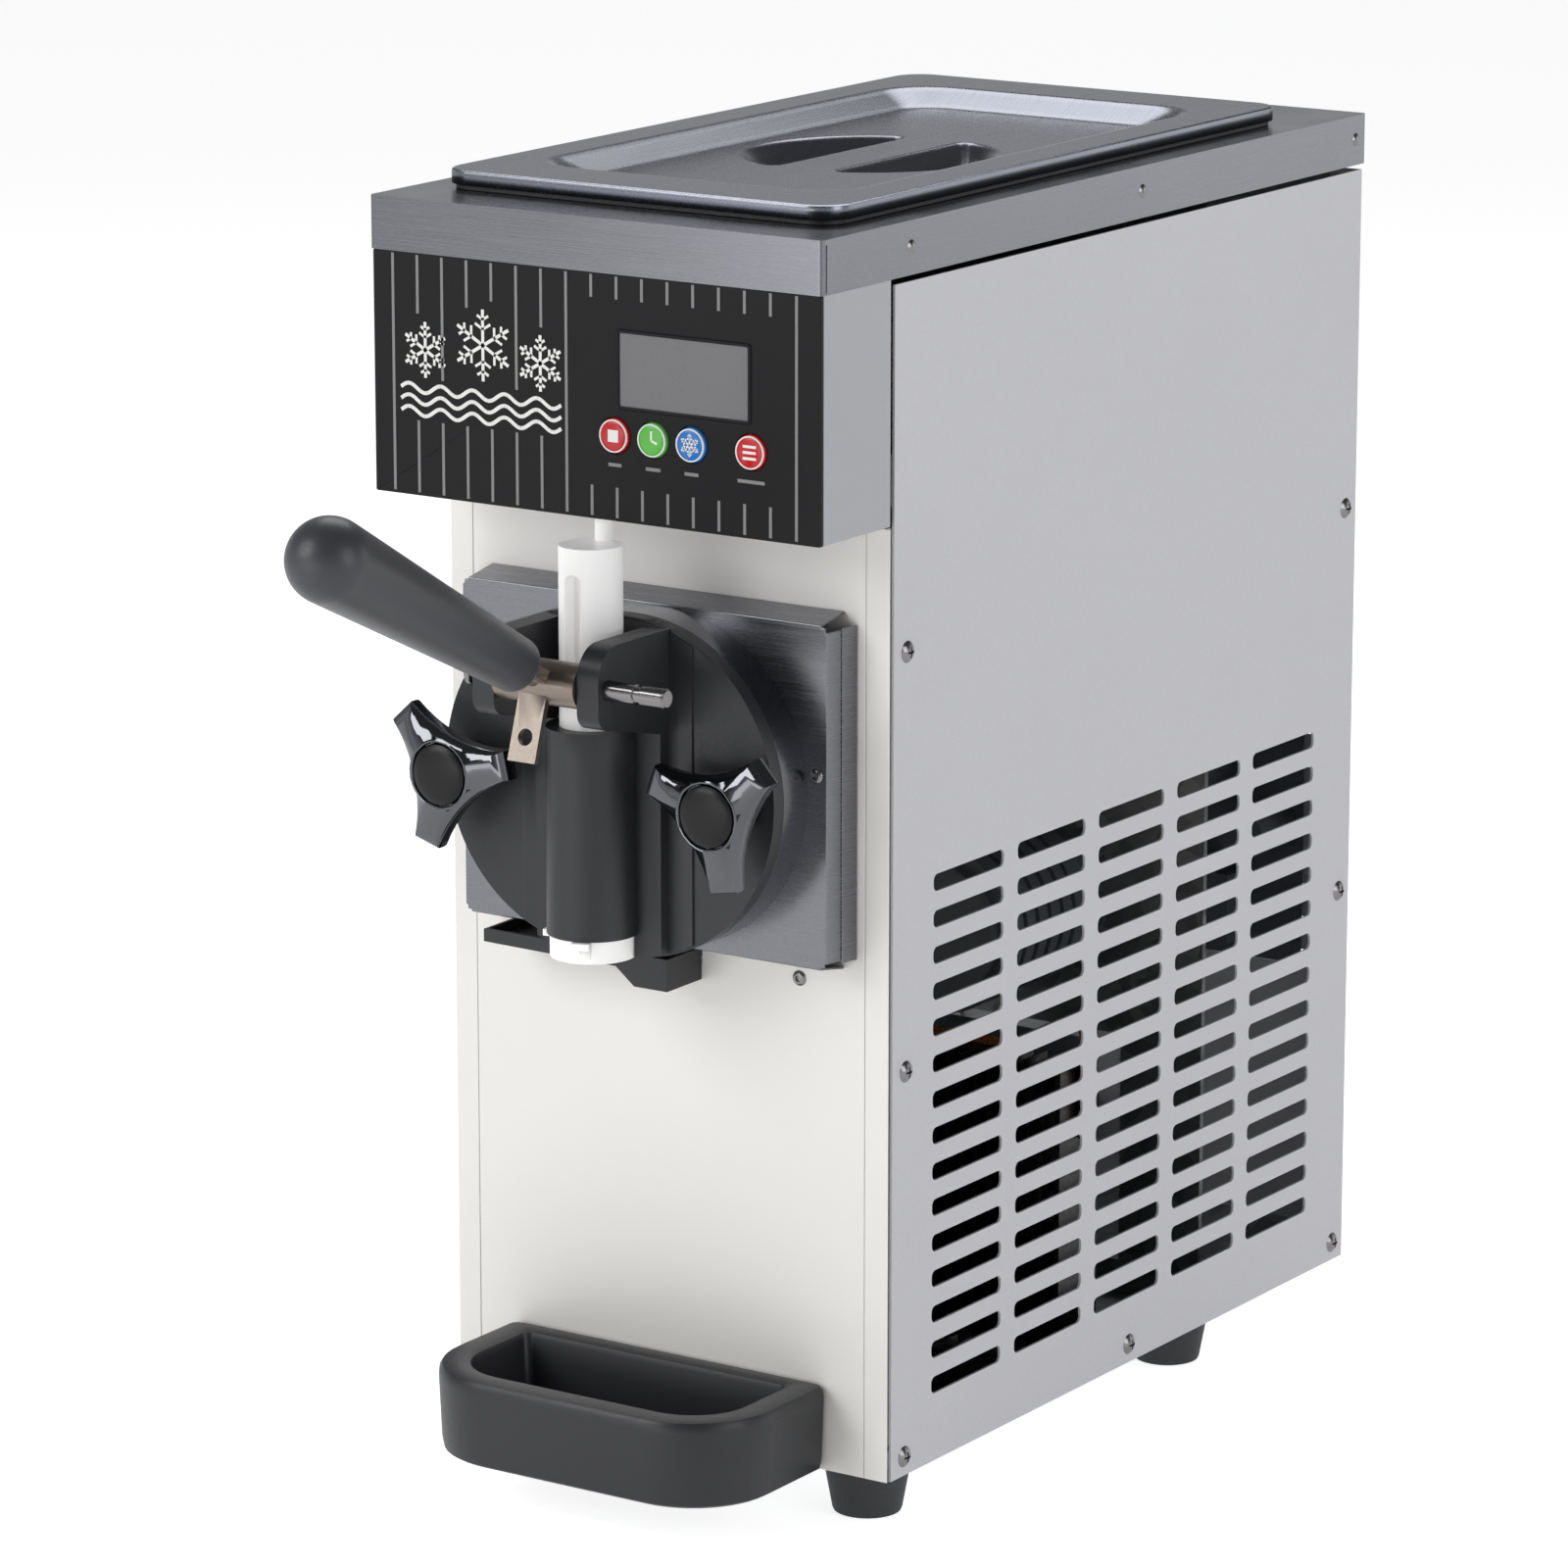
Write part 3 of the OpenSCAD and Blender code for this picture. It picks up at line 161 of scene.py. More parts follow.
def surface(slot, name, colour, metallic=0.0, roughness=0.4, grain_mm=1.0, relief_mm=0.02, drift=0.04,
            gloss_drift=0.06, stretch=(1, 1, 1), **shader_values):
    """A material from its colour, gloss and grain size; returns the parts that a special finish adds to."""
    material = bpy.data.materials.new(name)
    material.use_nodes = True
    tree = material.node_tree
    tree.nodes.clear()
    place = add(tree, "ShaderNodeTexCoord").outputs["Object"]
    run = add(tree, "ShaderNodeMapping", {"Vector": place, "Scale": stretch}).outputs["Vector"]
    grain = add(tree, "ShaderNodeTexNoise", {"Vector": run, "Scale": per_metre(grain_mm), "Detail": 3.0})
    patches = add(tree, "ShaderNodeTexNoise", {"Vector": place, "Scale": per_metre(PATCH_MM), "Detail": 2.0})
    base = linear(colour)
    worn = [c * (1 - drift * 2) for c in base[:3]] + [1.0]
    tint = add(tree, "ShaderNodeMixRGB", {"Fac": patches.outputs["Fac"], "Color1": worn, "Color2": base})
    gloss = add(tree, "ShaderNodeMapRange", {"Value": grain.outputs["Fac"], "From Min": 0.3, "From Max": 0.7,
                                             "To Min": max(roughness - gloss_drift, 0.02),
                                             "To Max": roughness + gloss_drift})
    bump = add(tree, "ShaderNodeBump", {"Height": grain.outputs["Fac"], "Distance": relief_mm * MM})
    shader = add(tree, "ShaderNodeBsdfPrincipled",
                 {"Base Color": tint.outputs["Color"], "Metallic": metallic,
                  "Roughness": gloss.outputs["Result"], "Normal": bump.outputs["Normal"], **shader_values})
    add(tree, "ShaderNodeOutputMaterial", {"Surface": shader.outputs["BSDF"]})
    FINISH[slot] = material
    return {"tree": tree, "shader": shader, "place": place, "grain": grain.outputs["Fac"], "bump": bump,
            "tint": tint.outputs["Color"]}


# %% [markdown]
# The cap and shroud are satin stainless sheet, brushed before it was folded. The brush leaves scratches a
# few tenths of a millimetre apart and many centimetres long, which smear every reflection across their run.
# They run from side to side on upright faces; on level faces a second set runs from front to back. The real
# spacing is too fine to see at this distance, so it is drawn at half a millimetre. The lid is deep drawn from
# softer sheet, which stretches the brush marks away and leaves an even satin.

# %% Satin stainless steel, brushed sheet
BRUSH_MM = 0.5
BRUSH_RUN = 0.008
LEVEL_ABOVE = 0.7
STREAK = 0.07

steel = surface("brushed_stainless", "satin_brushed_stainless_sheet", "#7F8085", metallic=1.0, roughness=0.27,
                grain_mm=BRUSH_MM, relief_mm=0.003, drift=0.04, gloss_drift=0.05,
                stretch=(BRUSH_RUN, BRUSH_RUN, 1))
tree = steel["tree"]
level_run = add(tree, "ShaderNodeMapping", {"Vector": steel["place"], "Scale": (1, BRUSH_RUN, BRUSH_RUN)})
level_scratch = add(tree, "ShaderNodeTexNoise", {"Vector": level_run.outputs["Vector"],
                                                 "Scale": per_metre(BRUSH_MM), "Detail": 3.0})
facing = add(tree, "ShaderNodeSeparateXYZ", {"Vector": add(tree, "ShaderNodeNewGeometry").outputs["Normal"]})
is_level = add(tree, "ShaderNodeMath", {0: facing.outputs["Z"], 1: LEVEL_ABOVE}, operation="GREATER_THAN")
scratch = add(tree, "ShaderNodeMixRGB", {"Fac": is_level.outputs["Value"], "Color1": steel["grain"],
                                         "Color2": level_scratch.outputs["Fac"]})
tree.links.new(scratch.outputs["Color"], steel["bump"].inputs["Height"])
streak = add(tree, "ShaderNodeMixRGB", {"Fac": STREAK, "Color1": steel["tint"],
                                        "Color2": scratch.outputs["Color"]}, blend_type="OVERLAY")
tree.links.new(streak.outputs["Color"], steel["shader"].inputs["Base Color"])
surface("lid_steel", "deep_drawn_satin_stainless", "#7B7D86", metallic=1.0, roughness=0.27, grain_mm=1.2,
        relief_mm=0.001, drift=0.03, gloss_drift=0.03, stretch=(1, 0.03, 0.03))

# %% [markdown]
# The oval flange of the freezing cylinder is polished, so it shows the room like a dull mirror. The knobs are
# die castings under bright chrome: a mirror with the faint unevenness of the casting beneath it.

# %% Polished stainless and chrome plating
surface("mirror_stainless", "polished_stainless_flange", "#7C7D82", metallic=1.0, roughness=0.2,
        grain_mm=0.6, relief_mm=0.003, drift=0.03, gloss_drift=0.04, stretch=(1, 0.02, 1))
surface("chrome_plating", "bright_chrome_plating", "#68696D", metallic=1.0, roughness=0.07,
        grain_mm=9.0, relief_mm=0.05, drift=0.02, gloss_drift=0.03)

# %% [markdown]
# Screws, rivets and the pivot pin are turned or headed from bright bar. The lever is a stainless investment
# casting, blasted with fine beads: duller, slightly warm, with a pebbled skin.

# %% Bright bar and bead-blasted casting
surface("bright_steel", "bright_rolled_steel", "#8C8A8B", metallic=1.0, roughness=0.22, grain_mm=0.4,
        relief_mm=0.006, drift=0.04, gloss_drift=0.06, stretch=(1, 0.05, 1))
surface("cast_steel", "bead_blasted_cast_stainless", "#948A81", metallic=1.0, roughness=0.4, grain_mm=0.7,
        relief_mm=0.035, drift=0.09, gloss_drift=0.1)

# %% [markdown]
# The side, rear and head panels are powder coated in light grey. The powder melts into a fine leathery skin:
# millimetre-sized bumps with tiny darker pits that stop the panel from looking like flat paint.

# %% Light grey powder coat
PIT_MM = 1.6

powder = surface("grey_enamel", "light_grey_powder_coat", "#C6C6CA", roughness=0.45, grain_mm=1.1,
                 relief_mm=0.05, drift=0.02, gloss_drift=0.08, **{"Specular IOR Level": 0.4})
tree = powder["tree"]
pits = add(tree, "ShaderNodeTexVoronoi", {"Vector": powder["place"], "Scale": per_metre(PIT_MM)})
pit_mask = add(tree, "ShaderNodeMapRange", {"Value": pits.outputs["Distance"], "From Min": 0.0,
                                            "From Max": 0.45, "To Min": 0.1, "To Max": 0.0})
pitted = add(tree, "ShaderNodeMixRGB", {"Fac": pit_mask.outputs["Result"], "Color1": powder["tint"],
                                        "Color2": linear("#6E6E74")})
tree.links.new(pitted.outputs["Color"], powder["shader"].inputs["Base Color"])
# The head shell is the same grey powder coat, but it takes a darker copy of it: painted shade on the head.
surface("grey_enamel_darkened_for_shade", "grey_powder_coat_darkened_for_shade", "#A9AAAF", roughness=0.4, grain_mm=1.1, relief_mm=0.04,
        drift=0.02, gloss_drift=0.06)

# %% [markdown]
# The front panel and its folded posts are baked enamel in a warm white. It is smoother and glossier than the
# powder coat, with the long soft ripple that painters call orange peel.

# %% Warm white baked enamel
surface("white_enamel", "warm_white_baked_enamel", "#EFEDE9", roughness=0.32, grain_mm=3.0, relief_mm=0.004,
        drift=0.01, gloss_drift=0.02, **{"Coat Weight": 0.3, "Coat Roughness": 0.15})

# %% [markdown]
# The dispensing head and trays are moulded in black plastic. The mould was lightly sparked, so the surface
# has a fine satin grain, and it reads as very dark grey. Fingers polish it in wide patches.

# %% Moulded black plastics
surface("black_plastic", "moulded_black_nylon_satin", "#26272B", roughness=0.42, grain_mm=0.9,
        relief_mm=0.02, drift=0.08, gloss_drift=0.07)
surface("black_gloss_plastic", "polished_black_abs", "#0F0F11", roughness=0.34, grain_mm=1.5,
        relief_mm=0.004, drift=0.05, gloss_drift=0.05, **{"Specular IOR Level": 0.3})

# %% [markdown]
# The ball grip is a thick rubber sleeve. Rubber scatters light in a soft sheen, shows a fine mould grain and
# never gets darker than charcoal, because its surface is always a little dusty.

# %% Rubbers
surface("grip_rubber", "charcoal_moulded_rubber", "#3B3C41", roughness=0.4, grain_mm=0.8, relief_mm=0.03,
        drift=0.07, gloss_drift=0.08, **{"Sheen Weight": 0.15, "Sheen Roughness": 0.4})
surface("foot_rubber", "black_foot_rubber", "#2E2F33", roughness=0.6, grain_mm=1.2, relief_mm=0.04,
        drift=0.1, gloss_drift=0.08)
surface("seal_rubber", "black_nitrile_rubber", "#1B1B1D", roughness=0.5, grain_mm=0.8, relief_mm=0.02)

# %% [markdown]
# The plunger, nozzle and sensing pin are food-grade acetal, turned from rod: milky, with the fine rings of
# the lathe. Real acetal scatters light that enters its skin; here a faint painted glow stands in for that, so
# the plastic gives off a little light of its own and reads brighter.

# %% White acetal
# The emission below is a painted glow that brightens the plastic, though it is no lamp.
surface("white_plastic", "turned_white_acetal", "#FBFAF9", roughness=0.32, grain_mm=0.9, relief_mm=0.001,
        drift=0.01, gloss_drift=0.04, stretch=(0.1, 0.1, 1), **{"Emission Color": linear("#FFFFFF"),
                                                               "Emission Strength": 0.1})

# %% [markdown]
# The control fascia is a printed polyester film, nearly black with grey lines. The film has a fine velvet
# texture. The display behind it is a dim grey window, and the keys are domed gloss plastic.

# %% Fascia film, display and keys
surface("fascia_film", "dark_printed_polyester_film", "#1D1D1F", roughness=0.5, grain_mm=0.7,
        relief_mm=0.008, drift=0.05, gloss_drift=0.05, **{"Specular IOR Level": 0.15})
surface("fascia_ink", "pale_grey_screen_ink", "#838381", roughness=0.5, grain_mm=0.6, relief_mm=0.005)
surface("white_ink", "white_screen_ink", "#EDEDEA", roughness=0.5, grain_mm=0.6, relief_mm=0.005)
surface("display_glass", "unlit_display_window", "#6E6E70", roughness=0.3, grain_mm=0.8, relief_mm=0.003,
        drift=0.02, gloss_drift=0.04)
for slot, name, colour in (("red_plastic", "red_key_plastic", "#C4141F"),
                           ("green_plastic", "green_key_plastic", "#5DBB46"),
                           ("blue_plastic", "blue_key_plastic", "#1F74C6")):
    surface(slot, name, colour, roughness=0.22, grain_mm=1.0, relief_mm=0.004, drift=0.06, gloss_drift=0.04)

# %% [markdown]
# Inside, zinc-coated sheet shows the frozen-window pattern of zinc crystals, several millimetres across. It
# is made with a Voronoi texture whose cells each take their own shade.

# %% Galvanised sheet
SPANGLE_MM = 9

zinc = surface("galvanised_sheet", "hot_dipped_galvanised_sheet", "#A5A8AA", metallic=1.0, roughness=0.42,
               grain_mm=1.2, relief_mm=0.01, drift=0.06)
tree = zinc["tree"]
crystals = add(tree, "ShaderNodeTexVoronoi", {"Vector": zinc["place"], "Scale": per_metre(SPANGLE_MM)})
crystal_shade = add(tree, "ShaderNodeSeparateColor", {"Color": crystals.outputs["Color"]})
spangled = add(tree, "ShaderNodeMixRGB", {"Fac": 0.25, "Color1": zinc["tint"],
                                          "Color2": crystal_shade.outputs["Red"]}, blend_type="OVERLAY")
tree.links.new(spangled.outputs["Color"], zinc["shader"].inputs["Base Color"])

# %% [markdown]
# The other parts inside are seen only through the vents or with the lid off: copper tube with brown tarnish,
# cast aluminium, motor paint, compressor enamel, foam with visible cells, and a green circuit board.

# %% Finishes of the machinery
surface("copper", "drawn_copper_tube", "#8A5A3E", metallic=1.0, roughness=0.3, grain_mm=2.0, relief_mm=0.01,
        drift=0.18, gloss_drift=0.1)
surface("cast_aluminium", "die_cast_aluminium", "#9FA1A5", metallic=1.0, roughness=0.42, grain_mm=1.5,
        relief_mm=0.04, drift=0.06)
surface("motor_enamel", "grey_motor_enamel", "#545960", roughness=0.4, grain_mm=2.0, relief_mm=0.03)
surface("compressor_enamel", "black_compressor_enamel", "#141416", roughness=0.3, grain_mm=2.5,
        relief_mm=0.03)
surface("foam", "expanded_polyurethane_foam", "#D8CBA0", roughness=0.85, grain_mm=1.8, relief_mm=0.25,
        drift=0.1)
TRACK_MM = 8
board = surface("circuit_board", "green_solder_mask", "#1E5B38", roughness=0.3, grain_mm=1.0,
                relief_mm=0.005)
tracks = add(board["tree"], "ShaderNodeTexBrick", {"Vector": board["place"], "Scale": per_metre(TRACK_MM),
                                                   "Mortar Size": 0.06, "Color1": linear("#1E5B38"),
                                                   "Color2": linear("#256B43"), "Mortar": linear("#3E8A5C")})
board["tree"].links.new(tracks.outputs["Color"], board["shader"].inputs["Base Color"])
print("finishes:", len(FINISH))

# %% [markdown]
# ## Making pieces
# Each new piece is drawn in millimetres round its own datum and then set down in metres in the machine, so
# that its object stays at the origin. The bevel modifier gives every edge the small radius that catches
# light. Ink, the lid's second shade of steel and the darker copy of the grey enamel, which is painted shade on
# the head shell, have no material slot of their own, so they use the slot of the film, sheet or paint that
# they belong to.

# %% Piece helpers
SHARP_EDGE = math.radians(32)
BEVEL_ROUNDS = 2
FACING_FRONT = Matrix.Rotation(math.radians(90), 4, "X")
FACING_RIGHT = Matrix.Rotation(math.radians(90), 4, "Y")
# The head shell's finish is the darker copy of the grey powder coat, which paints shade onto it.
OTHER_FINISH = {"head_shell": "grey_enamel_darkened_for_shade"}


def piece(bm, name, body, slot, datum=(0, 0, 0), stands_for=(), bevel_mm=0.0, turn=None, wall_mm=0.0):
    """Sets a mesh drawn in millimetres down at its datum, as a finished piece of the machine."""
    bmesh.ops.remove_doubles(bm, verts=bm.verts[:], dist=1e-4)
    bmesh.ops.recalc_face_normals(bm, faces=bm.faces[:])
    bm.transform(Matrix.Translation(datum) @ (turn or Matrix()) @ Matrix.Scale(MM, 4))
    return finish_piece(bm, name, body, slot, stands_for, bevel_mm, wall_mm)


def finish_piece(bm, name, body, slot, stands_for=(), bevel_mm=0.0, wall_mm=0.0):
    """Makes the object from a mesh that is already in place, with its wall, soft edges, finish and body."""
    mesh = bpy.data.meshes.new(name)
    bm.to_mesh(mesh)
    bm.free()
    mesh.polygons.foreach_set("use_smooth", [True] * len(mesh.polygons))
    mesh.set_sharp_from_angle(angle=SHARP_EDGE)
    obj = bpy.data.objects.new(name, mesh)
    bpy.context.scene.collection.objects.link(obj)
    if wall_mm:
        wall = obj.modifiers.new("wall", "SOLIDIFY")
        wall.use_even_offset = True
        wall.thickness = abs(wall_mm) * MM
        wall.offset = -1 if wall_mm > 0 else 1
    if bevel_mm:
        soft = obj.modifiers.new("soft_edges", "BEVEL")
        soft.width = bevel_mm * MM
        soft.segments = BEVEL_ROUNDS
        soft.limit_method = "ANGLE"
        soft.angle_limit = SHARP_EDGE
        soft.harden_normals = True
    mesh.materials.append(FINISH[slot])
    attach(obj, body)
    if stands_for:
        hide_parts(*stands_for)
    return obj


def revolve(bm, profile, steps=64):
    """Spins a profile of (radius, height) points once round the Z axis."""
    verts = [bm.verts.new((r, 0, z)) for r, z in profile]
    edges = [bm.edges.new(pair) for pair in zip(verts, verts[1:])]
    bmesh.ops.spin(bm, geom=verts + edges, cent=(0, 0, 0), axis=(0, 0, 1), angle=math.tau, steps=steps,
                   use_merge=True)


def edged_copy(node, name, bevel_mm):
    """A copy of a CAD sub-part with its flat faces joined up and its edges rounded."""
    bm = bmesh.new()
    bm.from_mesh(frame["nodes"][node].data)
    bmesh.ops.remove_doubles(bm, verts=bm.verts[:], dist=1e-6)
    bmesh.ops.dissolve_limit(bm, angle_limit=math.radians(0.5), verts=bm.verts[:], edges=bm.edges[:])
    return finish_piece(bm, name, BODY_OF[node], OTHER_FINISH.get(node, SLOT_OF[node]), (node,), bevel_mm)


# %% [markdown]
# The first pass covers every sub-part whose CAD shape is already right. Machined and folded parts only need
# the small radius of their real edges: about half a millimetre on sheet, one on castings and mouldings.

# %% Sub-parts that only need soft edges
EDGES_MM = {"corner_posts": 0.4, "front_panel": 0.4, "head_shell": 0.5, "head_shroud": 0.5,
            "top_cap": 0.8, "display_window": 0.4, "lever": 1.0, "plunger": 0.7,
            "switch_pin": 0.5, "nozzle_cap": 0.7, "dispensing_head": 1.4, "freezing_cylinder": 0.9,
            "leak_tray": 0.8, "mounting_studs": 0.4, "hopper_pan": 0.5, "air_tube": 0.4,
            "lid_gasket": 0.5, "power_inlet": 0.4, "power_switch": 0.4}
for node, edge in EDGES_MM.items():
    edged_copy(node, node + "_edged", edge)
print("sub-parts with soft edges:", len(EDGES_MM))

# %% [markdown]
# ## The lid
# The lid is one pressed sheet: a turned-down skirt, a flat rim, sloping walls down to a sunken panel, and two
# half-moon finger wells with a strap between them. The press stretches the sheet over round corners, so it is
# drawn as a chain of round-cornered outlines with walls between them, and then given its sheet thickness. A
# narrow flat strip on each side of a bend keeps the flat areas from shading like a cushion.

# %% Round-cornered outlines and lofts
def flat_shape(bm, points, z=0.0):
    """One flat face through a few points."""
    return bm.faces.new([bm.verts.new((x, y, z)) for x, y in points])


def thicken(bm, face, height):
    """Pushes a flat face up by its height, as a solid."""
    made = bmesh.ops.extrude_face_region(bm, geom=[face], use_keep_orig=True)
    lifted = [v for v in made["geom"] if isinstance(v, bmesh.types.BMVert)]
    bmesh.ops.translate(bm, verts=lifted, vec=(0, 0, height))


def rounded(width, y0, y1, front_radius, back_radius, steps=6):
    """Points round a rectangle with round corners, from the front right corner on."""
    half = width / 2
    corners = ((half - front_radius, y0 + front_radius, front_radius, -90),
               (half - back_radius, y1 - back_radius, back_radius, 0),
               (back_radius - half, y1 - back_radius, back_radius, 90),
               (front_radius - half, y0 + front_radius, front_radius, 180))
    return [(x + r * math.cos(a), y + r * math.sin(a)) for x, y, r, start in corners
            for a in (math.radians(start + 90 * i / steps) for i in range(steps + 1))]


def outline(bm, width, depth, radius, z=0.0, steps=6):
    """A flat round-cornered rectangle, as one face."""
    return flat_shape(bm, rounded(width, -depth / 2, depth / 2, radius, radius, steps), z)


def loft(bm, faces, keep_first=True, keep_last=True):
    """Walls from each flat outline to the next; the outlines between are taken away."""
    for low, high in zip(faces, faces[1:]):
        a, b = list(low.verts), list(high.verts)
        for i in range(len(a)):
            bm.faces.new((a[i - 1], a[i], b[i], b[i - 1]))
    inner = faces[1:-1] + ([] if keep_first else faces[:1]) + ([] if keep_last else faces[-1:])
    bmesh.ops.delete(bm, geom=inner, context="FACES_ONLY")


# %% Pressed lid
lid_low, lid_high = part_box("lid")
gasket_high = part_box("lid_gasket")[1]
LID_WIDTH = (lid_high.x - lid_low.x) / MM
LID_DEPTH = (lid_high.y - lid_low.y) / MM
RIM = (lid_high.z - gasket_high.z) / MM
PANEL_DROP = 8
WELL_RADIUS = 60
WELL_CORNER = 6
STRAP_HALF = 14
WELL_SHIFT = 4
FLOOR = RIM - PANEL_DROP
LID_SHEET = 1.0


def half_moon(bm, side, inset, z, steps=24, corner_steps=6):
    """A disc cut off beside the strap, with soft corners, as one flat face."""
    radius, soft = WELL_RADIUS - inset, max(WELL_CORNER - inset, 3)
    x0 = STRAP_HALF + inset + soft
    y0 = math.sqrt((radius - soft) ** 2 - x0 ** 2)
    swing = math.atan2(y0, x0)
    arc = [(radius * math.cos(a), radius * math.sin(a))
           for a in (swing * (2 * i / steps - 1) for i in range(steps + 1))]
    far = [(x0 + soft * math.cos(a), y0 + soft * math.sin(a))
           for a in (swing + (math.pi - swing) * i / corner_steps for i in range(1, corner_steps + 1))]
    near = [(x, -y) for x, y in reversed(far)]
    return flat_shape(bm, [(side * x, y - WELL_SHIFT) for x, y in arc + far + near], z)


bm = bmesh.new()
rings = [outline(bm, LID_WIDTH + grow, LID_DEPTH + grow, radius, z)
         for grow, z, radius in ((0, 0, 15), (0, RIM - 1.4, 15), (-0.5, RIM - 0.5, 14.7), (-2.2, RIM, 14),
                               (-4, RIM, 13.5))]
rings += [outline(bm, width, depth, radius, RIM - drop) for width, depth, radius, drop in (
    (170, 322, 28, 0), (168, 320, 27, 0), (163, 315, 25, 0.5), (159, 311, 24, 2),
    (141, 293, 18, PANEL_DROP - 2), (137, 289, 17, PANEL_DROP - 0.5), (132, 284, 15, PANEL_DROP),
    (130, 282, 14, PANEL_DROP))]
hems = list(rings[-1].edges)
loft(bm, rings, keep_first=False, keep_last=False)
for side in (-1, 1):
    wells = [half_moon(bm, side, inset, FLOOR - drop) for inset, drop in (
        (-1.5, 0), (0, 0), (1.2, 0.35), (2.6, 1.6), (8.0, 8.6), (9.6, 10.4), (12, 11.6), (15, 12))]
    hems += list(wells[0].edges)
    loft(bm, wells, keep_first=False)
bmesh.ops.triangle_fill(bm, use_beauty=True, edges=hems, normal=(0, 0, 1))
lid_datum = ((lid_low.x + lid_high.x) / 2, (lid_low.y + lid_high.y) / 2, gasket_high.z)
piece(bm, "pressed_lid", "lid", "lid_steel", lid_datum, ("lid",), wall_mm=LID_SHEET)
print("lid", round(LID_WIDTH), "x", round(LID_DEPTH), "mm, rim", round(RIM, 1))

# %% [markdown]
# The cap is folded from one sheet. At each front corner the side flange carries a small tab that wraps behind
# the front flange, which leaves a short upright seam and a slanting one. A thin plate has that outline.

# %% Folded corner tabs of the cap
TAB_MM = 0.35
TAB_OUTLINE = ((3, -2.2), (25, -14), (25, -23.4), (3, -23.4))

for side, hand in ((-1, "left"), (1, "right")):
    bm = bmesh.new()
    thicken(bm, flat_shape(bm, TAB_OUTLINE), TAB_MM)
    stand = Matrix(((0, 0, side, 0), (1, 0, 0, 0), (0, 1, 0, 0), (0, 0, 0, 1)))
    piece(bm, "cap_tab_" + hand, "cabinet", "brushed_stainless",
          (side * cap_high.x, CAP_FRONT, TOP), bevel_mm=0.3, turn=stand)
print("corner tabs", TAB_MM, "mm thick")

# %% [markdown]
# The tray behind the head has hemmed side flanges: the sheet is folded back on itself over the rear half.
# Small domed screws hold the tray and the panel.

# %% Hemmed flanges and small screws
shroud_low, shroud_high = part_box("head_shroud")
HALF_PLATE = 98.3
FLARE = 3.4 / 18.8
HEM_START = 9.0
HEM_END = 18.4
HEM_MM = 0.6
HEM_INSET = 5.5

for side, hand in ((-1, "left"), (1, "right")):
    bm = bmesh.new()
    near, far = HALF_PLATE + FLARE * HEM_START, HALF_PLATE + FLARE * HEM_END
    hem = flat_shape(bm, [(side * x, y) for x, y in (
        (near, HEM_START), (far, HEM_END), (far + HEM_MM, HEM_END), (near + HEM_MM, HEM_START))])
    thicken(bm, hem, (shroud_high.z - shroud_low.z) / MM - 2 * HEM_INSET)
    piece(bm, "shroud_hem_" + hand, "cabinet", "brushed_stainless",
          (0, shroud_low.y, shroud_low.z + HEM_INSET * MM), bevel_mm=0.2)


def screw_head(name, x, y, z, radius):
    """A low dome with a hollow, facing the front; x from the middle and z down from the cap, in mm."""
    bm = bmesh.new()
    rim = [(radius * math.cos(math.radians(a)), -0.45 * radius * math.sin(math.radians(a)))
           for a in range(0, 61, 12)]
    profile = [(r, -z) for r, z in rim]
    profile += [(radius * 0.42, 0.38 * radius), (radius * 0.38, 0.12 * radius), (0, 0.1 * radius)]
    revolve(bm, profile, steps=24)
    piece(bm, name, "cabinet", "bright_steel", (x * MM, y, TOP - z * MM), turn=FACING_FRONT)


for name, x, y, z, radius in (("shroud_screw", 92.8, shroud_low.y, 244, 3.4),
                              ("panel_screw", 71.5, FRONT, 342.8, 3.6)):
    screw_head(name, x, y, z, radius)
    screw_head(name + "_far", -x, y, z, radius)
print("hems", HEM_MM, "mm thick, and four small screws")

# %% [markdown]
# ## The control fascia
# The printed film carries a row of fine upright lines, long on the left and cut short round the display, with
# four round keys. Each line is a strip of ink a fifth of a millimetre thick, so it stays crisp. A plain
# frieze of snow crystals over three waves fills the decorated corner, and the lines stop short of it.

# %% Upright view of flat artwork
fascia_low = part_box("control_fascia")[0]
INK_MM = 0.18
RAISED_MM = 0.3
film_y = fascia_low.y + RAISED_MM * MM
SUNK_MM = 0.01
INK_FACE = Vector((0, film_y - (INK_MM - SUNK_MM) * MM, TOP))

bm = bmesh.new()
bm.from_mesh(frame["nodes"]["control_fascia"].data)
for v in bm.verts:
    v.co.y = max(v.co.y, film_y)
bmesh.ops.remove_doubles(bm, verts=bm.verts[:], dist=1e-6)
bmesh.ops.dissolve_degenerate(bm, edges=bm.edges[:], dist=1e-6)
bmesh.ops.dissolve_limit(bm, angle_limit=math.radians(0.5), verts=bm.verts[:], edges=bm.edges[:])
finish_piece(bm, "printed_film_panel", "cabinet", "fascia_film", ("control_fascia",), bevel_mm=0.4)


def rod(bm, x0, z0, x1, z1, width, height=INK_MM):
    """A straight flat stroke from one point to another, with its ends cut square."""
    along = Vector((x1 - x0, z1 - z0))
    turn = Matrix.Rotation(math.atan2(along.y, along.x), 4, "Z")
    place = Matrix.Translation(((x0 + x1) / 2, (z0 + z1) / 2, -height / 2)) @ turn
    bmesh.ops.create_cube(bm, size=1, matrix=place @ Matrix.Diagonal((along.length, width, height, 1)))


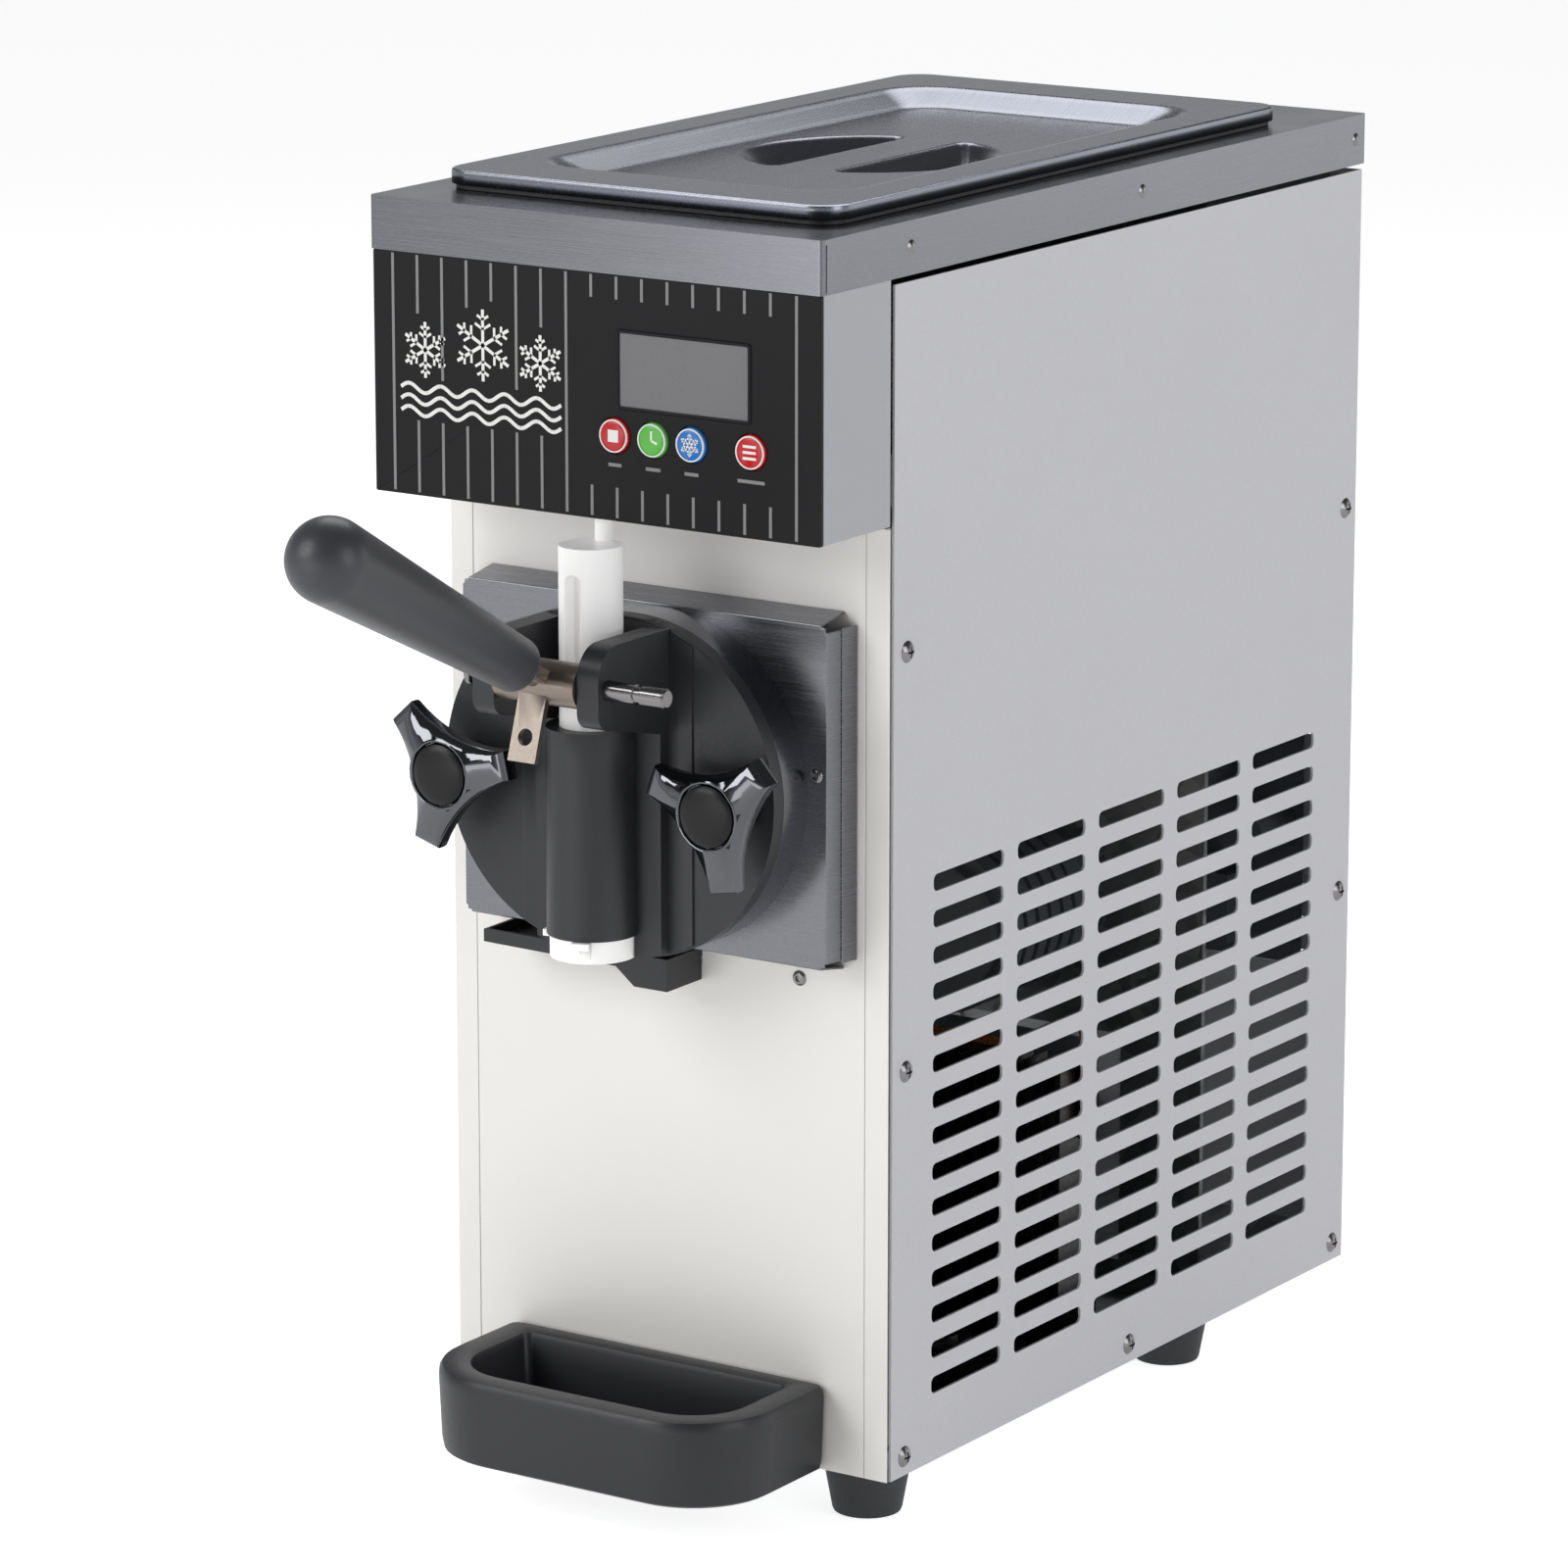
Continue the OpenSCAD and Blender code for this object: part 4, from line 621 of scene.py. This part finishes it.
def band(bm, x, z, outer, inner, height=INK_MM, segments=40):
    """A flat ring."""
    place = Matrix.Translation((x, z, -height))
    made = bmesh.ops.create_circle(bm, cap_ends=False, radius=outer, segments=segments, matrix=place)
    hole = bmesh.ops.create_circle(bm, cap_ends=False, radius=inner, segments=segments, matrix=place)
    edges = list({e for v in made["verts"] + hole["verts"] for e in v.link_edges})
    ring = bmesh.ops.bridge_loops(bm, edges=edges)["faces"]
    lifted = bmesh.ops.extrude_face_region(bm, geom=ring, use_keep_orig=True)["geom"]
    bmesh.ops.translate(bm, verts=[v for v in lifted if isinstance(v, bmesh.types.BMVert)],
                        vec=(0, 0, height))


def snow_crystal(bm, x, z, reach, stroke):
    """Six arms, each with two pairs of short branches."""
    for k in range(6):
        turn = math.radians(60 * k + 30)
        rod(bm, x, z, x + reach * math.cos(turn), z + reach * math.sin(turn), stroke)
        for share, length in ((0.45, 0.3), (0.72, 0.22)):
            root = Vector((x + reach * share * math.cos(turn), z + reach * share * math.sin(turn)))
            for lean in (-1, 1):
                branch = turn + lean * math.radians(60)
                tip = root + Vector((math.cos(branch), math.sin(branch))) * reach * length
                rod(bm, root.x, root.y, tip.x, tip.y, stroke * 0.8)


# %% Printed lines and frieze
LINE_PITCH = 13.4
FIRST_LINE = -107.9
LINE_WIDTH = 1.4
FASCIA_TOP = -25
FASCIA_FOOT = -131.5
ART_FOOT = -99
UPPER_END = -35
LOWER_START = -118
LABEL_Z = -108
LABEL_THICK = 1.5
CRYSTAL_STROKE = 1.5
WAVE_STROKE = 1.7
ART_TOPS = {1: -51, 2: -80, 3: -46, 4: -42, 5: -80, 6: -51}

bm = bmesh.new()
for k in range(17):
    x = FIRST_LINE + LINE_PITCH * k
    if k in ART_TOPS:
        rod(bm, x, FASCIA_TOP, x, ART_TOPS[k], LINE_WIDTH)
        rod(bm, x, ART_FOOT, x, FASCIA_FOOT, LINE_WIDTH)
    elif k in (0, 7, 16):
        rod(bm, x, FASCIA_TOP, x, FASCIA_FOOT, LINE_WIDTH)
    else:
        rod(bm, x, FASCIA_TOP, x, UPPER_END, LINE_WIDTH)
        rod(bm, x, LOWER_START, x, FASCIA_FOOT, LINE_WIDTH)
for x, half in ((11.6, 3.4), (31.8, 3.8), (52.0, 3.6), (83.1, 7.0)):
    rod(bm, x - half, LABEL_Z, x + half, LABEL_Z, LABEL_THICK)
lines = piece(bm, "fascia_lines", "cabinet", "fascia_ink", INK_FACE, turn=FACING_FRONT)

bm = bmesh.new()
for x, z, reach in ((-90.5, -67, 12.5), (-59, -62, 16), (-28, -67, 12.5)):
    snow_crystal(bm, x, z, reach, CRYSTAL_STROKE)
WAVE_STEPS = 48
for row in range(3):
    last = None
    for i in range(WAVE_STEPS + 1):
        x = -104 + 87 * i / WAVE_STEPS
        z = -84.5 - 5.2 * row + 2.0 * math.sin(i * math.tau * 5 / WAVE_STEPS)
        if last:
            rod(bm, last[0], last[1], x, z, WAVE_STROKE)
        last = (x, z)
frieze = piece(bm, "fascia_frieze", "cabinet", "white_ink", INK_FACE, turn=FACING_FRONT)
print("fascia artwork faces:", len(lines.data.polygons) + len(frieze.data.polygons))

# %% [markdown]
# Each key is a shallow dome in its own colour, with a pale printed ring and sign: a square to stop, a clock,
# a snow crystal for cooling, and three bars for the menu. The signs ride on their keys.

# %% Keys
KEY_RADIUS = 7.8
KEYS = (("stop_button", "square"), ("auto_button", "clock"), ("cool_button", "crystal"),
        ("defrost_button", "bars"))
for node, sign in KEYS:
    low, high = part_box(node)
    middle = Vector(((low.x + high.x) / 2, low.y, (low.z + high.z) / 2))
    bm = bmesh.new()
    revolve(bm, ((0, 0), (4, -0.12), (KEY_RADIUS - 1.2, -0.45), (KEY_RADIUS - 0.3, -0.9), (KEY_RADIUS, -1.5),
                 (KEY_RADIUS, -4.4), (9.8, -4.4), (9.8, -5.4), (0, -5.4)))
    piece(bm, node + "_key", BODY_OF[node], SLOT_OF[node], middle, (node,), turn=FACING_FRONT)
    bm = bmesh.new()
    band(bm, 0, 0, KEY_RADIUS - 0.5, KEY_RADIUS - 1.1, 0.9)
    if sign == "square":
        rod(bm, -2.7, 0, 2.7, 0, 5.4, 0.25)
    elif sign == "clock":
        rod(bm, 0, 0, 0, 4.2, 1.0, 0.25)
        rod(bm, 0, 0, 3.0, -1.2, 1.0, 0.25)
    elif sign == "crystal":
        snow_crystal(bm, 0, 0, 5.0, 0.8)
    else:
        for z in (-2.6, 0, 2.6):
            rod(bm, -3.4, z, 3.4, z, 1.2, 0.25)
    piece(bm, node + "_sign", BODY_OF[node], "white_ink", middle, turn=FACING_FRONT)
print("keys:", len(KEYS))

# %% [markdown]
# The display sits behind a thin bezel of the same dark film, whose raised edge catches a little light.

# %% Display bezel
low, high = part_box("display_window")
width, height = (high.x - low.x) / MM, (high.z - low.z) / MM
bm = bmesh.new()
frame_outer = outline(bm, width + 2.4, height + 2.4, 1.5, 0)
frame_inner = outline(bm, width - 0.6, height - 0.6, 0.8, 0.3)
bmesh.ops.bridge_loops(bm, edges=list(frame_outer.edges) + list(frame_inner.edges))
bmesh.ops.delete(bm, geom=[frame_outer, frame_inner], context="FACES_ONLY")
piece(bm, "display_bezel", "cabinet", "fascia_film",
      ((low.x + high.x) / 2, film_y - 0.05 * MM, (low.z + high.z) / 2), wall_mm=-0.3,
      turn=FACING_FRONT)
print("display", round(width), "x", round(height), "mm")

# %% [markdown]
# ## The draw lever
# The ball grip is moulded round the tang of the lever: a long cone with a round shoulder where it meets the
# casting, running out into a ball. It is a turned shape, so its profile is spun once round its own axis, with
# the ball as an arc that leaves the cone without a break.

# %% Ball grip
grip_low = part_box("grip")[0]
BALL = 18.95
CONE = 12.45
GRIP_START = 21.2
GRIP_REACH = 172
LEVER_RISE = math.radians(27.5)
ball_arc = math.asin((BALL - CONE) / (GRIP_REACH - GRIP_START))

profile = [(0, GRIP_START), (7.5, GRIP_START), (CONE - 4, GRIP_START + 0.25)]
profile += [(CONE - 4 + 4 * math.sin(a), GRIP_START + 4.25 - 4 * math.cos(a))
            for a in (math.radians(22.5 * k) for k in range(1, 4))]
profile += [(CONE + (BALL * math.cos(ball_arc) - CONE) * k / 5,
             GRIP_START + 4.25 + (GRIP_REACH - BALL * math.sin(ball_arc) - GRIP_START - 4.25) * k / 5)
            for k in range(5)]
profile += [(BALL * math.cos(a), GRIP_REACH + BALL * math.sin(a))
            for a in (-ball_arc + (math.pi / 2 + ball_arc) * k / 18 for k in range(18))]
profile += [(0, GRIP_REACH + BALL)]
bm = bmesh.new()
revolve(bm, profile, steps=72)
along_grip = Matrix.Rotation(math.pi / 2 - LEVER_RISE, 4, "X")
grip = piece(bm, "ball_grip", "draw_lever", "grip_rubber", PIVOT, ("grip",), turn=along_grip)
print("grip tip", [round(c, 4) for c in (grip.matrix_world @ Vector(grip.bound_box[0]))], "CAD",
      [round(c, 4) for c in grip_low])

# %% [markdown]
# The pivot pin is a turned bar with a flat head at one end, and at the other a groove for a clip and a small
# chamfer.

# %% Pivot pin
PIN = 4.5
HEAD = 6.5
x0, x1 = pin_low.x / MM, pin_high.x / MM
bm = bmesh.new()
revolve(bm, ((0, x0), (HEAD - 0.6, x0), (HEAD, x0 + 0.6), (HEAD, x0 + 2.6), (HEAD - 0.4, x0 + 3),
             (PIN, x0 + 3), (PIN, x1 - 16.4), (PIN - 0.8, x1 - 16), (PIN - 0.8, x1 - 13),
             (PIN, x1 - 12.6), (PIN, x1 - 1), (PIN - 0.9, x1 - 0.1), (0, x1)), steps=48)
piece(bm, "turned_pivot_pin", "cabinet", "bright_steel", PIVOT, ("pivot_pin",), turn=FACING_RIGHT)
print("pivot pin", round(x1 - x0, 1), "mm long")

# %% [markdown]
# ## The hand knobs
# Each knob is a three-lobed die casting. Its outline has square-ended lobes with hollow flanks, and its front
# falls away from a round boss towards the tips, so the chrome catches light on one lobe and darkness on the
# next. A polished black cap closes the boss.

# %% Lobed knobs
LOBE_REACH = 35
LOBE_TIP = 6.6
WAIST = 17.5
KNOB_THICK = 13.2
BOSS = 15.6
FLANK_STEPS = 10
HUB_END = -28.6


def knob_outline(scale=1.0):
    """Points round three lobes: two corners to each tip, and a hollow arc from lobe to lobe."""
    corner = math.hypot(LOBE_REACH, LOBE_TIP)
    spread = math.radians(60) - math.atan2(LOBE_TIP, LOBE_REACH)
    half = corner * math.sin(spread)
    sag = corner * math.cos(spread) - WAIST
    hollow = (half * half + sag * sag) / (2 * sag)
    sweep = math.asin(half / hollow)
    points = []
    for lobe in range(3):
        middle = math.radians(120 * lobe + 60)
        for i in range(FLANK_STEPS + 1):
            a = -sweep + 2 * sweep * i / FLANK_STEPS
            u, v = WAIST + hollow - hollow * math.cos(a), hollow * math.sin(a)
            points.append((scale * (u * math.cos(middle) - v * math.sin(middle)),
                           scale * (u * math.sin(middle) + v * math.cos(middle))))
    return points


def boss_outline(radius):
    """A circle with one point in line with each point of the lobes."""
    return [(radius * math.cos(a), radius * math.sin(a))
            for a in (math.atan2(y, x) for x, y in knob_outline())]


for hand, turn_degrees in (("left", 12.5), ("right", 40)):
    low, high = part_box(hand + "_knob")
    cap_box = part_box(hand + "_knob_cap")
    centre_x = (cap_box[0].x + cap_box[1].x) / 2
    datum = Vector((centre_x, low.y, AXIS))
    turn = FACING_FRONT @ Matrix.Rotation(math.radians(turn_degrees), 4, "Z")
    bm = bmesh.new()
    rings = [flat_shape(bm, knob_outline(scale), z) for scale, z in (
        (0.93, -KNOB_THICK), (0.985, -KNOB_THICK + 0.8), (1.0, -KNOB_THICK + 2.5), (1.0, -6.6), (0.985, -5.4),
        (0.94, -4.4), (0.8, -3.0))]
    rings += [flat_shape(bm, boss_outline(radius), z) for radius, z in (
        (BOSS + 0.6, -0.9), (BOSS, -0.5), (BOSS - 0.6, -0.6), (BOSS - 1.1, -1.2), (BOSS - 1.1, -3))]
    loft(bm, rings)
    piece(bm, hand + "_lobed_knob", BODY_OF[hand + "_knob"], "chrome_plating", datum, (hand + "_knob",),
          turn=turn)
    bm = bmesh.new()
    revolve(bm, ((11, -KNOB_THICK + 1), (11, -KNOB_THICK - 8), (10, HUB_END), (5, HUB_END),
                 (5, -KNOB_THICK + 1)))
    piece(bm, hand + "_knob_hub", BODY_OF[hand + "_knob"], "chrome_plating", datum, bevel_mm=0.5,
          turn=FACING_FRONT)
    bm = bmesh.new()
    revolve(bm, ((0, 0), (5, -0.15), (9.5, -0.6), (12.4, -1.2), (13.7, -2.0), (14.1, -3.2), (0, -3.2)))
    piece(bm, hand + "_domed_cap", BODY_OF[hand + "_knob"], "black_gloss_plastic",
          Vector((centre_x, cap_box[0].y, AXIS)), (hand + "_knob_cap",), turn=FACING_FRONT)
print("knob reach", LOBE_REACH, "mm")

# %% [markdown]
# ## Trays and feet
# The drip tray is a thick moulding with a broad soft rim: the outer wall rolls over to a flat ledge, and the
# bowl drops inside it. The same outline is drawn at each level with a different inset and lofted. Two tabs
# at the back fit into slots in the front panel.

# %% Drip tray
tray_low, tray_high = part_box("drip_tray")
TRAY_WIDTH = (tray_high.x - tray_low.x) / MM
TRAY_GAP = 0.5
TRAY_OUT = (FRONT - tray_low.y) / MM - TRAY_GAP
TRAY_TALL = (tray_high.z - tray_low.z) / MM
FRONT_CORNER = 42
BACK_CORNER = 4
TRAY_TAB_X = 50
TRAY_TAB = (10, 9.6, 4)


def tray_face(bm, inset, z, back_inset=None):
    """The tray's plan at one level: a straight back with tight corners and wide front corners."""
    back_inset = inset if back_inset is None else back_inset
    points = rounded(TRAY_WIDTH - 2 * inset, -TRAY_OUT + inset, -back_inset, FRONT_CORNER - inset,
                     BACK_CORNER, 12)
    return flat_shape(bm, points, z)


bm = bmesh.new()
levels = ((4.5, 0, 1), (2.0, 1.5, 0.3), (1.2, 6, 0), (0.0, TRAY_TALL - 6, 0), (0.3, TRAY_TALL - 2.5, 0.3),
          (1.6, TRAY_TALL - 0.6, 1.2), (4.0, TRAY_TALL, 2.5), (12.0, TRAY_TALL, 8.0),
          (14.5, TRAY_TALL - 1.0, 10.0), (15.5, TRAY_TALL - 3.5, 11.0), (17.5, 12, 12.5), (22, 6, 17),
          (28, 5, 23))
loft(bm, [tray_face(bm, inset, z, back) for inset, z, back in levels])
for x in (-TRAY_TAB_X, TRAY_TAB_X):
    tab = Matrix.Translation((x, 3.6, TRAY_TALL - 14)) @ Matrix.Diagonal((*TRAY_TAB, 1))
    bmesh.ops.create_cube(bm, size=1, matrix=tab)
piece(bm, "moulded_drip_tray", "drip_tray", "black_plastic", (0, FRONT - TRAY_GAP * MM, tray_low.z),
      ("drip_tray",))
print("drip tray", round(TRAY_WIDTH), "x", round(TRAY_OUT), "x", round(TRAY_TALL), "mm")

# %% [markdown]
# The feet are tapered rubber buffers, turned shapes with a rounded toe and a screw hole in the middle.

# %% Feet
feet_low, feet_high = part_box("feet")
FOOT_TOP = 20
FOOT_TOE = 16
foot_tall = (feet_high.z - feet_low.z) / MM
bm = bmesh.new()
for x in (feet_low.x + FOOT_TOP * MM, feet_high.x - FOOT_TOP * MM):
    for y in (feet_low.y + FOOT_TOP * MM, feet_high.y - FOOT_TOP * MM):
        before = set(bm.verts)
        revolve(bm, ((0, 7), (6.5, 7), (7, 6.4), (7, 1.2), (8, 0), (FOOT_TOE - 2, 0), (FOOT_TOE - 0.6, 0.5),
                     (FOOT_TOE, 1.8), (FOOT_TOP - 0.4, foot_tall - 2.5), (FOOT_TOP, foot_tall - 1.6),
                     (FOOT_TOP, foot_tall), (0, foot_tall)), steps=48)
        bmesh.ops.translate(bm, verts=[v for v in bm.verts if v not in before],
                            vec=(x / MM, y / MM, feet_low.z / MM))
piece(bm, "rubber_feet", "cabinet", "foot_rubber", stands_for=("feet",))
print("feet", round(foot_tall), "mm tall")

# %% [markdown]
# ## Finishing the CAD sub-parts
# The sub-parts that stay as CAD solids take their finish through their own material slots.

# %% Finishes on the CAD sub-parts
for node, obj in frame["nodes"].items():
    for material_slot in obj.material_slots:
        material_slot.material = FINISH[SLOT_OF[node]]
print("CAD sub-parts given a finish:", len(frame["nodes"]))

# %% [markdown]
# ## Studio
# A plain white floor, a bright soft room and five soft boxes. The room is darker overhead, so level steel
# reads darker than upright steel. The big box on the left lights the front, a low one fills in below the
# head, a weaker one lights the vented side, one far behind on the right shines along the side, and one
# overhead gives the lid its bright far corners. The floor glows a little more towards the camera, as a lit
# paper sweep does.

# %% Floor, room and lights
floor_material = surface("studio_floor", "pale_studio_floor", "#F4F4F3", roughness=0.7, grain_mm=4.0,
                         relief_mm=0.01, drift=0.0, **{"Emission Color": linear("#FFFFFF")})
FLOOR_HALF = 12
bm = bmesh.new()
bmesh.ops.create_grid(bm, x_segments=1, y_segments=1, size=FLOOR_HALF)
floor_mesh = bpy.data.meshes.new("studio_floor")
bm.to_mesh(floor_mesh)
bm.free()
floor = bpy.data.objects.new("studio_floor", floor_mesh)
floor_mesh.materials.append(FINISH["studio_floor"])
bpy.context.scene.collection.objects.link(floor)
floor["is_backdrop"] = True
tree = floor_material["tree"]
to_camera = add(tree, "ShaderNodeLightPath").outputs["Is Camera Ray"]
glow = add(tree, "ShaderNodeMapRange", {"Value": to_camera, "To Min": 0.45, "To Max": 0.8})
tree.links.new(glow.outputs["Result"], floor_material["shader"].inputs["Emission Strength"])
bpy.context.scene.view_settings.view_transform = "Standard"

world = bpy.data.worlds.new("studio_room")
bpy.context.scene.world = world
world.use_nodes = True
tree = world.node_tree
tree.nodes.clear()
sky = add(tree, "ShaderNodeSeparateXYZ", {"Vector": add(tree, "ShaderNodeTexCoord").outputs["Generated"]})
height = add(tree, "ShaderNodeMapRange", {"Value": sky.outputs["Z"], "From Min": 0.0, "From Max": 0.32,
                                          "To Min": 0.9, "To Max": 0.12})
room = add(tree, "ShaderNodeBackground", {"Color": linear("#F6F7FA"), "Strength": height.outputs["Result"]})
add(tree, "ShaderNodeOutputWorld", {"Surface": room.outputs["Background"]})


def soft_box(name, place, aim, size, watts):
    """A square soft light at a place, facing a point."""
    light = bpy.data.lights.new(name, "AREA")
    light.shape = "RECTANGLE"
    light.size, light.size_y = size
    light.energy = watts
    obj = bpy.data.objects.new(name, light)
    obj.location = place
    obj.rotation_mode = "QUATERNION"
    obj.rotation_quaternion = (Vector(aim) - Vector(place)).to_track_quat("-Z", "Y")
    bpy.context.scene.collection.objects.link(obj)


machine_middle = (0, CAP_MIDDLE, TOP / 2)
soft_box("front_box", (-1.6, -2.6, 2.0), machine_middle, (1.8, 1.8), 50)
soft_box("side_box", (2.6, -0.4, 1.2), machine_middle, (1.4, 1.8), 18)
soft_box("far_box", (2.1, 2.7, 0.9), machine_middle, (2.2, 1.8), 11)
soft_box("top_box", (-0.8, 1.3, 2.3), (0, 0.2, TOP), (1.6, 1.2), 20)
soft_box("low_box", (-0.5, -2.6, 0.35), (0, CAP_FRONT, 0.2), (1.6, 0.6), 6)

# %% [markdown]
# The last cell prints how far the finished model reaches beside the CAD box, and closes the script.

# %% Size and finish
low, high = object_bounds()
print("visual box", [round(c, 4) for c in low], [round(c, 4) for c in high])
